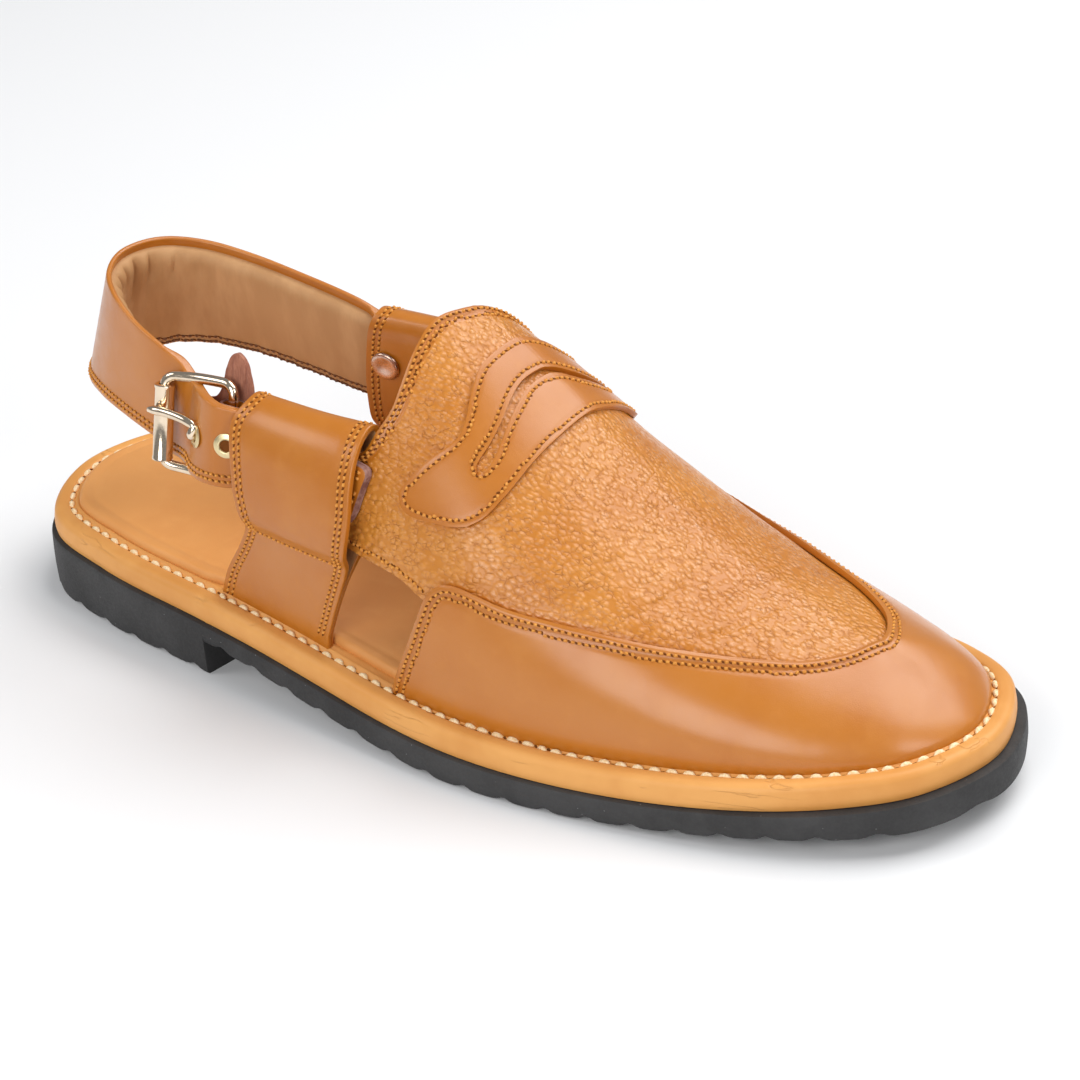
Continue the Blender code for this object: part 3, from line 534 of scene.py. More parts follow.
def liningLeather(name, base, deep):
    # upright streaks over slow clouds
    paint = Paint(name, Specular_IOR_Level=0.3)
    stretch = (1.0, 1.0, 0.25)
    streak = paint.noise(120, 4, 0.6, stretch=stretch)
    cloud = paint.noise(28, 3, 0.6)
    tone = paint.mix(paint.level(streak, 0.35, 0.7), deep, base)
    tone = paint.mix(paint.level(cloud, 0.40, 0.70, 0, 0.45), tone, deep)
    paint.feed("Base Color", tone)
    paint.feed("Roughness", paint.level(streak, 0.3, 0.7, 0.55, 0.68))
    paint.bumps((paint.noise(90, 3, 0.5, stretch=stretch), 0.5, 0.35), (paint.noise(1500, 3, 0.6), 0.06, 0.4))


def suedeFinish(name):
    # an upright nap in three tones
    paint = Paint(name, Roughness=0.92, Specular_IOR_Level=0.1, Sheen_Weight=0.35, Sheen_Roughness=0.5)
    nap = paint.noise(700, 4, 0.7, stretch=(1.0, 1.0, 0.22))
    cloud = paint.noise(110, 3, 0.6)
    tone = paint.mix(paint.level(nap, 0.30, 0.72), leather["suedeDeep"], leather["suede"])
    tone = paint.mix(paint.level(cloud, 0.50, 0.75, 0, 0.5), tone, leather["suedePale"])
    paint.feed("Base Color", tone)
    paint.bumps((cloud, 0.5, 0.4), (nap, 0.35, 0.9))


def rawEdge(name):
    paint = Paint(name, Roughness=0.85, Specular_IOR_Level=0.2)
    layers = paint.noise(420, 4, 0.7, stretch=(0.3, 1.0, 1.0))
    paint.feed("Base Color", paint.mix(paint.level(layers, 0.35, 0.68),
                                       leather["rawEdge"], leather["rawEdgePale"]))
    paint.bumps((layers, 0.2, 0.7))


def threadFinish(name, base, deep):
    paint = Paint(name, Roughness=0.55, Specular_IOR_Level=0.35)
    twist = paint.noise(1700, 3, 0.6)
    paint.feed("Base Color", paint.mix(paint.level(twist, 0.35, 0.65), deep, base))
    paint.bumps((twist, 0.12, 0.6))


def metalFinish(name, base, deep, roughness, wear):
    paint = Paint(name, Metallic=1.0)
    cloud = paint.noise(180, 3, 0.6)
    scratch = paint.noise(900, 4, 0.7, stretch=(1.0, 0.3, 3.0))
    paint.feed("Base Color", paint.mix(paint.level(cloud, 0.40, 0.70, 0, wear), base, deep))
    paint.feed("Roughness", paint.level(scratch, 0.35, 0.7, roughness, roughness + 0.10))
    paint.bumps((cloud, 0.08, 0.25), (scratch, 0.02, 0.3))


def rubberFinish(name):
    # near black, clouded, with scattered grey specks of dust
    paint = Paint(name, Specular_IOR_Level=0.32)
    cloud = paint.noise(45, 4, 0.6)
    grain = paint.noise(1300, 4, 0.7)
    specks = paint.cells(260, "F1")
    tone = paint.mix(paint.level(cloud, 0.35, 0.65), (0.033, 0.032, 0.032), (0.052, 0.051, 0.051))
    tone = paint.mix(paint.level(specks, 0.030, 0.055, 0.55, 0.0), tone, (0.26, 0.26, 0.26))
    paint.feed("Base Color", tone)
    paint.feed("Roughness", paint.level(grain, 0.3, 0.7, 0.56, 0.74))
    paint.bumps((paint.noise(240, 4, 0.6), 0.25, 0.4), (grain, 0.10, 0.5))


smoothLeather("smoothLeather", leather["smooth"], leather["smoothDeep"], leather["smoothPale"])
pebbledLeather("pebbledLeather")
weltLeather("weltLeather")
liningLeather("liningLeather", leather["lining"], leather["liningDeep"])
smoothLeather("footbedLeather", leather["footbed"], leather["footbedDeep"], leather["footbedPale"],
              0.46, 0.8, 0.05)
suedeFinish("suede")
rawEdge("rawEdge")
threadFinish("tanThread", (0.760, 0.340, 0.060), (0.600, 0.220, 0.030))
threadFinish("brownThread", (0.230, 0.100, 0.042), (0.150, 0.060, 0.025))
threadFinish("creamThread", (0.960, 0.800, 0.540), (0.860, 0.600, 0.300))
metalFinish("goldPlate", (0.880, 0.735, 0.560), (0.640, 0.490, 0.350), 0.10, 0.35)
metalFinish("eyeletBrass", (0.800, 0.660, 0.380), (0.640, 0.500, 0.270), 0.30, 0.4)
metalFinish("rivetMetal", (0.720, 0.500, 0.400), (0.480, 0.330, 0.260), 0.24, 0.7)
rubberFinish("rubber")
# painted shade for the needle holes and the eyelets' bores: a dark brown
hole = Paint("holeShade", Roughness=0.9, Specular_IOR_Level=0.1)
hole.feed("Base Color", hole.mix(hole.noise(2000), (0.140, 0.042, 0.009), (0.220, 0.072, 0.016)))
print("finishes ready:", len(finishes))


def edgeFrames(line, tree):
    # directions along, out of and across a line that lies on a surface; across points to the left of along
    places, outs = surfacePoints(tree, line)
    along = unit(np.gradient(places, axis=0))
    across = unit(np.cross(outs, along))
    return places, along, unit(np.cross(along, across)), across


def eased(rows, times, closed=False):
    # evens out small unsteadiness along a line
    for _ in range(times):
        if closed:
            rows = (np.roll(rows, 1, axis=0) + 2 * rows + np.roll(rows, -1, axis=0)) / 4
        else:
            rows = np.concatenate([rows[:1], (rows[:-2] + 2 * rows[1:-1] + rows[2:]) / 4, rows[-1:]])
    return rows


def insetLine(line, tree, distance, closed=False):
    # the same line moved to its left by a distance, back on the surface
    places, outs = surfacePoints(tree, resample(line, pitch=0.7))
    if closed:
        places, outs = places[:-1], outs[:-1]
        along = unit(np.roll(places, -2, axis=0) - np.roll(places, 2, axis=0))
    else:
        along = unit(np.gradient(places, axis=0))
    across = eased(unit(np.cross(eased(outs, 12, closed), eased(along, 6, closed))), 6, closed)
    moved = surfacePoints(tree, places + unit(across) * distance)[0]
    moved = eased(moved, 10, closed)
    return np.concatenate([moved, moved[:1]]) if closed else moved


def pressLines(obj, lines, depth, width):
    # sinks a sheet along seams, before it gets its wall
    obj.data.update()
    normals = [v.normal.copy() for v in obj.data.vertices]
    tree = lineKd([(np.asarray(line) + np.array([0, footLine, 0])) * mm for line in lines])
    for vertex, out in zip(obj.data.vertices, normals):
        away = tree.find(vertex.co)[2] / mm
        if away < 3 * width:
            vertex.co -= out * (depth * mm * math.exp(-(away / width) ** 2))
    obj.data.update()


# Thread, in mm and degrees: the fine seams of the upper and straps, and the coarse one round the welt
thread = {
    "finePitch": 1.8, "fineLength": 1.42, "fineRadius": 0.46, "fineLift": 0.12, "fineHole": 0.60,
    "weltPitch": 4.5, "weltLength": 3.9, "weltRadius": 0.78, "weltLift": 0.34, "weltHole": 0.70,
    "holeTurn": 32, "dive": 1.5,
}


def masterStitch(length, radius):
    # one stitch: a short thread whose two ends dive into the leather, lying along X
    clearSelection()
    bpy.ops.mesh.primitive_uv_sphere_add(segments=6, ring_count=6, radius=1)
    obj = bpy.context.object
    bpy.ops.object.mode_set(mode="EDIT")
    bpy.ops.transform.rotate(value=math.pi / 2, orient_axis="Y", center_override=(0, 0, 0))
    bpy.ops.transform.resize(value=(length / 2, radius, radius))
    bpy.ops.object.mode_set(mode="OBJECT")
    for v in obj.data.vertices:
        share = abs(v.co.x) / (length / 2)
        v.co.z -= radius * thread["dive"] * share**3
    return obj


def masterHoleShade(radius):
    # one needle hole's painted shade: a small dark lens, turned a little against the seam
    clearSelection()
    bpy.ops.mesh.primitive_ico_sphere_add(subdivisions=1, radius=1)
    obj = bpy.context.object
    bpy.ops.object.mode_set(mode="EDIT")
    bpy.ops.transform.resize(value=(radius, radius * 0.56, radius * 0.2))
    bpy.ops.transform.rotate(value=math.radians(thread["holeTurn"]), orient_axis="Z",
                             center_override=(0, 0, 0))
    bpy.ops.object.mode_set(mode="OBJECT")
    return obj


def copiesOf(master, frames):
    # the master's mesh laid at every frame: place in mm, along, across, out;
    # its faces are put in a fixed order, because a new sphere's come in any order
    points = np.array([v.co for v in master.data.vertices], float)
    faces = [tuple(f.vertices) for f in master.data.polygons]
    faces = sorted(f[f.index(min(f)):] + f[:f.index(min(f))] for f in faces)
    allPoints, allFaces = [], []
    for place, along, across, out in frames:
        base = len(allPoints) * len(points)
        laid = points @ np.array([along, across, out]) + place
        allPoints.append(laid)
        allFaces += [tuple(base + k for k in f) for f in faces]
    return np.concatenate(allPoints), allFaces


def seamFrames(line, tree, pitch, lift, shift=0.0):
    # places at a whole number of steps along a line on a surface; shift moves them by a share of a step
    line = resample(line, pitch=pitch / 6)
    places, along, outs, across = edgeFrames(line, tree)
    run = runLength(places)
    count = max(int(round(run[-1] / pitch)), 1)
    spots = (np.arange(count) + 0.5 + shift) * run[-1] / count
    frames = []
    for s in spots[spots < run[-1]]:
        i = int(np.argmin(np.abs(run - s)))
        frames.append((places[i] + outs[i] * lift, along[i], across[i], outs[i]))
    return frames


def settle(obj, materials, replaced=()):
    # rides the piece on the shoe, names its finish and what it stands for
    kinds = np.zeros(len(obj.data.polygons), np.int32)
    obj.data.polygons.foreach_get("material_index", kinds)
    obj.data.materials.clear()
    for material in materials:
        obj.data.materials.append(finishes[material])
    obj.data.polygons.foreach_set("material_index", kinds)
    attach(obj, "root")
    if replaced:
        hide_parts(*replaced)
    return obj


def sewSeams(name, lines, onto, threadSlot="tanThread", size="fine"):
    # thread and the needle holes' painted shade along the seams of one piece, joined into one mesh;
    # size picks another set of thread sizes by the start of its names
    tree = treeOf(onto)
    pitch, length, radius, lift, hole = (
        thread[size + k] for k in ("Pitch", "Length", "Radius", "Lift", "Hole"))
    stitch, prick = masterStitch(length, radius), masterHoleShade(hole)
    sewn, holes = [], []
    for line in lines:
        sewn += seamFrames(line, tree, pitch, lift)
        holes += seamFrames(line, tree, pitch, 0.02, shift=-0.5)
    points, faces = copiesOf(stitch, sewn)
    morePoints, moreFaces = copiesOf(prick, holes)
    kinds = np.repeat([0, 1], [len(faces), len(moreFaces)]).astype(np.int32)
    faces += [tuple(len(points) + k for k in f) for f in moreFaces]
    data = bpy.data.meshes.new(name)
    data.from_pydata(toFrame(np.concatenate([points, morePoints])).tolist(), [], faces)
    data.polygons.foreach_set("material_index", kinds)
    data.polygons.foreach_set("use_smooth", np.ones(len(faces), bool))
    obj = bpy.data.objects.new(name, data)
    bpy.context.scene.collection.objects.link(obj)
    for spare in (stitch, prick):
        bpy.data.objects.remove(spare)
    settle(obj, (threadSlot, "holeShade"))


def lineKd(lines):
    points = np.concatenate([np.asarray(line, float).reshape(-1, 3) for line in lines])
    tree = KDTree(len(points))
    for i, p in enumerate(points):
        tree.insert(tuple(p), i)
    tree.balance()
    return tree


def distanceTo(points, lines):
    # how far each point is from the nearest point of the lines
    tree = lineKd(lines)
    flat = np.asarray(points, float).reshape(-1, 3)
    return np.array([tree.find(tuple(p))[2] for p in flat]).reshape(np.shape(points)[:-1])


def gentle(x, low, high):
    # 0 below low, 1 above high, smooth between
    t = np.clip((np.asarray(x, float) - low) / (high - low), 0, 1)
    return t * t * (3 - 2 * t)


def wander(points, size, seed=0.0):
    # slow uneven waves over a surface, between about -1 and 1
    p = np.asarray(points, float) / size
    x, y, z = p[..., 0], p[..., 1], p[..., 2]
    return (np.sin(1.7 * x + 2.1 * np.sin(1.3 * y + seed) + seed)
            + np.sin(2.3 * y + 1.9 * np.sin(1.1 * z + 2 * seed))
            + np.sin(1.9 * z + 1.7 * np.sin(1.5 * x + 3 * seed) + 1.1)) / 3


def onLast(chart, offset=0.0):
    # points lying on the last at a station and bearing, and the directions out of it there
    chart = np.asarray(chart, float)
    x = chart[..., 0]
    beyond = np.maximum(x - form["spineEnd"], 0)
    points = onForm(np.minimum(x, form["spineEnd"]), chart[..., 1])
    points[..., 0] += beyond
    points[..., 2] -= 0.2 * beyond
    places, outs = surfacePoints(lastTree, points)
    return places + outs * offset, outs


def denseShares(count, low=0.0, high=0.0, power=2.0):
    # shares of a length, crowded towards its ends by the given amounts
    t = np.linspace(0, 1, count)
    shares = (t - low * np.sin(np.pi * t) * (1 - t) ** power / np.pi
              + high * np.sin(np.pi * t) * t**power / np.pi)
    return np.maximum.accumulate(np.clip(shares, 0, 1))


def lifted(line, tree, distance):
    places, outs = surfacePoints(tree, line)
    return places + outs * distance


# Upper: where its pieces end, as station and bearing on the foot form
upper = {
    "mudguardRearOuter": ((-1, -90), (1.6, -86.4), (5.2, -81.8), (8.8, -75.9), (11, -71.6), (13.3, -69.1)),
    "mudguardTop": ((13.3, -69.1), (15.8, -67.4), (19.5, -66.2), (24.8, -65.3), (33.3, -63.7), (46.6, -59.0),
                    (59, -53.4), (67.5, -49.6), (81.3, -42.5), (93.7, -36.2), (101.8, -30.4), (108.5, -20.5),
                    (111.6, -10), (113.3, 3), (111.3, 16), (106.5, 27.5), (96, 37.3), (81, 44.7),
                    (65.8, 51.9), (46.6, 58.6), (27.2, 64.6), (21, 66.4), (18.9, 67.2), (16.2, 68.2)),
    "mudguardRearInner": ((5.7, 90), (8, 86.2), (11.1, 80.8), (12.4, 75.5), (13.6, 71.2), (16.2, 68.2)),
    "vampFront": ((15, -74), (22, -71), (33, -69.5), (46.6, -65), (59, -59.4), (67.5, -56), (81.3, -49),
                  (93.7, -43), (104, -37), (112, -26), (116.5, -12), (118, 3), (116, 19), (110, 33),
                  (98, 43.5), (81, 51), (65.8, 58), (46.6, 64.5), (27, 70.5), (16, 74.5)),
    "topline": ((-28, -69), (-28, -60), (-27.6, -51.6), (-15.2, -51.2), (-11.5, -45.4), (-9.1, -39.8),
                (-8.6, -34.2), (-8.6, -24.1), (-8, -14.1), (-3.7, -1.3), (-0.6, 21.3), (-0.2, 34.6),
                (-3.2, 40.4), (-11.3, 46.7), (-16.5, 50), (-27.6, 51.6), (-28, 60), (-28, 70.6)),
    "wingOuter": ((15, -74), (8.6, -72.2), (2.7, -70.4), (-6.2, -69.6), (-16.7, -69.2), (-28, -69)),
    "wingInner": ((16, 74.5), (12.4, 73.3), (-1.6, 72), (-16.6, 70.9), (-28, 70.6)),
    "creases": (((62, -44), (66, -34), (68, -24)), ((78, -38), (84, -26), (88, -12)),
                ((48, -50), (52, -40), (53, -31))),
    "wall": 2.0, "mudguardWall": 1.5, "mudguardLift": 0.4, "edgeLift": 0.8, "edgeBead": 0.4, "hem": 0.35,
    "mudguardSeams": (2.3, 3.5), "vampSeams": (1.5, 2.8), "wingSeam": 2.0, "foldedEdge": 3.5,
    "underMudguard": 0.55, "press": 0.24, "pressWidth": 0.6, "creaseDepth": 0.55, "creaseWidth": 0.9,
}


def makeMudguard():
    # the panel round the toe, from the feather edge up to its border; it stands out most along that border
    top, _ = onLast(smoothLine(upper["mudguardTop"], 10))
    rearOuter, _ = onLast(smoothLine(upper["mudguardRearOuter"], 6))
    rearInner, _ = onLast(smoothLine(upper["mudguardRearInner"], 6))
    ring = np.array([(x, y, featherZ(x)) for x, y in featherRing])
    start = int(np.argmin(np.linalg.norm(ring[:featherTip] - rearOuter[0], axis=1)))
    stop = featherTip + int(np.argmin(np.linalg.norm(ring[featherTip:] - rearInner[0], axis=1)))
    foot = ring[start:stop + 1]
    foot[0], foot[-1] = rearOuter[0], rearInner[0]
    columns, rows = 300, 46
    sheet = fillSheet(foot, top, rearOuter, rearInner, columns, rows,
                      denseShares(columns, 0.85, 0.85, 12), denseShares(rows, 0.0, 0.72, 1.5))
    sheet, outs = surfacePoints(lastTree, sheet)
    edge = np.concatenate([rearOuter[:-1], top, rearInner[::-1]])
    inward = distanceTo(sheet, [resample(edge, pitch=0.3)])
    lift = upper["mudguardLift"] + upper["edgeLift"] * np.exp(-inward / 8)
    lift += upper["edgeBead"] * np.sin(np.clip(inward / upper["mudguardSeams"][0], 0, 1) * np.pi) ** 1.2
    lift += 0.22 * wander(sheet, 21, 0.7) * gentle(inward, 4, 16)
    sheet = sheet + outs * lift[..., None]
    sheet[:, 0, 2] -= 0.8
    obj = sheetObject("mudguard", sheet)
    lines = [lifted(insetLine(edge, lastTree, -d), lastTree, 1.1) for d in upper["mudguardSeams"]]
    pressLines(obj, lines, upper["press"], upper["pressWidth"])
    giveWall(obj, upper["mudguardWall"], 0.55, 3, innerSlot=1)
    return obj, [lifted(line, lastTree, 2.2) for line in lines]


def makeVamp():
    # the vamp from under the mudguard to the topline, with a folded edge there and its wings at both sides
    chart = fillSheet(smoothLine(upper["vampFront"], 10), smoothLine(upper["topline"], 10),
                      smoothLine(upper["wingOuter"], 10), smoothLine(upper["wingInner"], 10), 210, 150,
                      denseShares(210, 0.7, 0.7, 6), denseShares(150, 0.0, 0.75, 4))
    sheet, outs = onLast(chart)
    front = onLast(smoothLine(upper["vampFront"], 20))[0]
    topline = onLast(smoothLine(upper["topline"], 20))[0]
    hidden = distanceTo(sheet, [resample(front, pitch=0.5)])
    lift = -upper["underMudguard"] * (1 - gentle(hidden, 3.5, 6.5))
    fold = distanceTo(sheet, [resample(topline, pitch=0.4)])
    lift += upper["hem"] * np.sin(np.clip(fold / 2.2, 0, 1) * np.pi)
    lift += 0.30 * wander(sheet, 13, 1.9) * gentle(fold, 3, 12) * gentle(hidden, 5, 12)
    sheet = sheet + outs * lift[..., None]
    cells = (fold[:-1, :-1] + fold[1:, 1:]) / 2
    obj = sheetObject("vamp", sheet, kinds=(cells < upper["foldedEdge"]).astype(int))
    top = smoothLine(upper["topline"][2:-2], 12)
    seams = [insetLine(onLast(top)[0], lastTree, -d) for d in upper["vampSeams"]]
    for key in ("wingOuter", "wingInner"):
        wing = onLast(smoothLine(upper[key][1:], 12))[0]
        seams.append(insetLine(wing, lastTree, upper["wingSeam"] * (-1 if key == "wingOuter" else 1)))
    pressLines(obj, seams, upper["press"], upper["pressWidth"])
    creases = [onLast(smoothLine(line, 10))[0] for line in upper["creases"]]
    pressLines(obj, creases, upper["creaseDepth"], upper["creaseWidth"])
    giveWall(obj, upper["wall"], 0.6, 3, innerSlot=2, rimSlot=1)
    return obj, [lifted(line, lastTree, 1.5) for line in seams]


# Penny strap: rails across the vamp, as station and bearing, and its own sizes in mm
penny = {
    "front": ((19.2, -52.8), (22.4, -48.5), (25.2, -39.6), (27, -26.9), (28.4, -13.8), (29.3, 5.3),
              (29.5, 20), (29, 30), (28.6, 39.3), (25.2, 46.5), (16.9, 53.2)),
    "slitFront": ((10.6, -56.3), (13.6, -49.8), (15.9, -45.0), (16.9, -42.2), (17.2, -41.2), (18.3, -40.0),
                  (18.9, -38.0), (19.1, -35.6), (19.0, -32.4), (18.3, -27), (17.5, -20.5),
                  (17.0, -12.2), (17.5, -5.7), (18.9, 5.7), (20.6, 12.4), (21.9, 20.5), (22.4, 29.3),
                  (21.9, 36.0), (18.4, 44.6), (11.6, 55.1)),
    "slitRear": ((9.8, -56.5), (13.0, -50.0), (15.4, -45.1), (16.5, -42.2), (16.9, -41.2), (16.2, -40.0),
                 (16.2, -38.0), (16.5, -35.6), (16.8, -32.4), (16.6, -26.4), (15.6, -19.4),
                 (15.1, -12.8), (15.6, -6.4), (17.1, 5.0), (18.8, 13.4), (20.2, 21.8), (20.9, 29.6),
                 (20.9, 36.0), (17.5, 44.4), (10.8, 55.3)),
    "rear": ((-1.2, -54.1), (3.3, -47.1), (9.5, -37.2), (9.6, -32.6), (8, -26.3), (6.5, -18.8), (7.2, -9.3),
             (8.5, 5), (10, 16), (11, 25), (10.3, 37), (4.6, 49), (0.9, 53)),
    "endOuter": ((19.2, -52.8), (15.2, -55), (10.6, -56.3), (9.8, -56.5), (3.2, -57.4), (0.4, -56.6),
                 (-1.2, -54.1)),
    "endInner": ((16.9, 53.2), (14.6, 54.2), (11.6, 55.1), (10.8, 55.3), (4.4, 56.4), (0.9, 55.6), (0.9, 53)),
    "slit": (-41.2, 35.2), "columns": 230, "endShare": 0.07,
    "wall": 1.45, "lift": 1.55, "seam": 1.5, "press": 0.22, "pressWidth": 0.5,
}


def makePenny():
    # the strap across the vamp, its slit left open, with seams round the outline and the slit
    columns, share = penny["columns"], penny["endShare"]

    def rail(name):
        line = smoothLine(penny[name], 20)
        bearings = np.linspace(line[0, 1], line[-1, 1], columns)
        return np.column_stack([np.interp(bearings, line[:, 1], line[:, 0]), bearings])

    def part(rear, front, low, high, rows):
        # a strip between two rails; its rounded ends reshape only the columns near them
        t, s = np.linspace(0, 1, columns)[:, None, None], np.linspace(0, 1, rows)[None, :, None]
        strip = (1 - s) * rail(rear)[:, None] + s * rail(front)[:, None]
        low, high = (resample(smoothLine(line, 8), rows)[None] for line in (low, high))
        nearLow, nearHigh = 1 - gentle(t, 0, share), gentle(t, 1 - share, 1)
        return strip + nearLow * (low - strip[:1]) + nearHigh * (high - strip[-1:])

    outerEnd, innerEnd = penny["endOuter"], penny["endInner"]
    parts = [part("front", "slitFront", outerEnd[:3], innerEnd[:3], 19),
             part("slitFront", "slitRear", outerEnd[2:4], innerEnd[2:4], 3)[:, 1:],
             part("slitRear", "rear", outerEnd[3:], innerEnd[3:], 17)[:, 1:]]
    chart = np.concatenate(parts, axis=1)
    low, high = penny["slit"]
    sheet, _ = onLast(chart, penny["lift"])
    row = parts[0].shape[1] - 1
    keep = np.ones((chart.shape[0] - 1, chart.shape[1] - 1), bool)
    bearing = (chart[:-1, row + 1, 1] + chart[1:, row + 1, 1]) / 2
    keep[:, row:row + 2] = ~((bearing > low) & (bearing < high))[:, None]
    obj = sheetObject("pennyStrap", sheet, keep=keep)
    slit = [onLast(smoothLine([p for p in penny[k] if low - 1 < p[1] < high + 1], 12))[0]
            for k in ("slitFront", "slitRear")]
    rims = [onLast(smoothLine(penny[k], 12))[0] for k in ("front", "endInner", "rear", "endOuter")]
    outline = np.concatenate([rims[0], rims[1][1:], rims[2][::-1][1:], rims[3][::-1][1:]])
    hole = np.concatenate([slit[0], slit[1][::-1], slit[0][:1]])
    seams = [insetLine(outline, lastTree, penny["seam"], closed=True),
             insetLine(hole, lastTree, -penny["seam"], closed=True)]
    pressLines(obj, [lifted(s, lastTree, penny["lift"]) for s in seams], penny["press"], penny["pressWidth"])
    giveWall(obj, penny["wall"], 0.4, innerSlot=1, rimSlot=2)
    return obj, [lifted(line, lastTree, 2.4) for line in seams]


# Loops: section from the sole up the outside, over the fold and down the inside (height, offset, wall),
# and edges (height, rear, front, rear of the inner panel), in mm
loops = {
    "section": ((22.2, 0.1, 1.2), (30, 0.6, 1.2), (40, 1.5, 1.3), (44.6, 2.2, 1.5), (47.2, 3.1, 1.6),
                (51, 5.6, 1.75), (57, 7.0, 1.75), (66, 7.3, 1.75), (73.5, 7.0, 1.75), (78.6, 5.5, 1.75),
                (81.4, 2.9, 1.75), (82.3, 0.2, 1.75), (81.2, -3, 1.75), (78, -4.9, 1.75),
                (66, -5.2, 1.75), (55, -5.2, 1.75), (49.5, -4.8, 1.6), (45.5, -2.9, 1.4),
                (40, -1.9, 1.1), (30, -2.1, 1.1), (22.2, -2.3, 1.1)),
    "outer": ((18.0, -66.5, -26.8, -66.5), (30.0, -62.6, -22.2, -62.6), (40.0, -56.4, -18.0, -56.4),
              (48.0, -52.4, -14.8, -52.4), (60.0, -53.2, -12.2, -53.2), (70.0, -54.2, -12.4, -54.0),
              (77.0, -54.6, -12.8, -54.2), (82.2, -51.8, -13.4, -51.8)),
    "inner": ((18.0, -54.6, -20.5, -54.6), (38.0, -53.0, -20.0, -54.6), (48.0, -52.0, -19.4, -56.6),
              (62.0, -51.4, -17.0, -56.2), (76.0, -51.0, -14.6, -53.0), (82.2, -50.8, -13.2, -50.8)),
    "innerLift": 1.4, "liftFrom": 50.0, "fold": 82.2, "foot": 22.7, "footSunk": 0.6, "innerPanel": -2.4,
    "wall": 1.75, "bulge": 0.25, "seams": (2.0, 3.7), "crossSeam": 46.6, "press": 0.26, "pressWidth": 0.5,
}


def loopPoint(side, share, z, offset):
    # a loop's point by its share of the width and its place in the section; its foot is drawn in to the last
    edges, lift = (loops["outer"], 0.0) if side < 0 else (loops["inner"], loops["innerLift"])
    rear = readTable(edges, z, 3 if offset < loops["innerPanel"] else 1)
    front = readTable(edges, z, 2)
    x = rear + (front - rear) * share
    raised = z + lift * max(z - loops["liftFrom"], 0.0) / (loops["fold"] - loops["liftFrom"])
    base = float(featherZ(x))
    if z <= loops["foot"]:
        raised = base - loops["footSunk"]
    drawnIn = float(featherY(side, x)) - float(formY(side, x, base))
    hold = math.exp(-max(raised - base, 0.0) / form["tuck"])
    return (x, side * (float(formY(side, x, max(z, base))) + offset + drawnIn * hold), raised)


def makeLoop(name, side):
    # one folded panel, its wall thinner towards the sole, with the lines of its seams
    path = smoothLine(loops["section"], 6)
    shares = denseShares(30, 0.55, 0.55, 3)
    sheet = np.array([[loopPoint(side, s, z, d) for z, d, _ in path] for s in shares])
    width = np.linalg.norm(sheet[-1] - sheet[0], axis=1)
    bulge = loops["bulge"] * wander(sheet, 16, 2.3 + side)
    sheet[..., 1] += side * bulge * np.sin(np.pi * shares)[:, None]
    if side > 0:
        sheet = sheet[::-1]
    obj = sheetObject(name, sheet)
    walls = np.array([w for _, _, w in path])
    group = obj.vertex_groups.new(name="wall")
    tree = lineKd([sheet.reshape(-1, 3)])
    for v in obj.data.vertices:
        row = tree.find(fromFrame(v.co))[1] % sheet.shape[1]
        group.add([v.index], float(walls[row] / loops["wall"]), "REPLACE")
    seams = []
    spread = shares if side < 0 else 1 - shares[::-1]
    for distance in loops["seams"]:
        for fromEnd in (False, True):
            line = []
            for r in range(1, len(path) - 3):
                share = distance / width[r]
                share = 1 - share if fromEnd else share
                line.append([np.interp(share, spread, sheet[:, r, k]) for k in range(3)])
            seams.append(np.array(line))
    level = int(np.argmin(np.abs(path[:60, 0] - loops["crossSeam"])))
    seams.append(sheet[2:-2, level])
    pressLines(obj, seams, loops["press"], loops["pressWidth"])
    return giveWall(obj, loops["wall"], 0.5, 3, innerSlot=1, rimSlot=2, group="wall"), seams


mudguard, mudguardSeams = makeMudguard()
settle(mudguard, ("smoothLeather", "liningLeather"))
print("mudguard ready")
vamp, vampSeams = makeVamp()
settle(vamp, ("pebbledLeather", "smoothLeather", "liningLeather"), ["upper"])
pennyStrap, pennySeams = makePenny()
settle(pennyStrap, ("smoothLeather", "liningLeather", "smoothLeather"))
sewSeams("mudguardSeams", mudguardSeams, mudguard)
sewSeams("vampSeams", vampSeams, vamp)
sewSeams("pennySeams", pennySeams, pennyStrap)
print("upper ready")
for name, side, node in (("loopOuter", -1, "loop_outer"), ("loopInner", 1, "loop_inner")):
    loop, lines = makeLoop(name, side)
    settle(loop, ("smoothLeather", "liningLeather", "smoothLeather"), [node])
    sewSeams(name + "Seams", lines, loop)
print("loops ready")


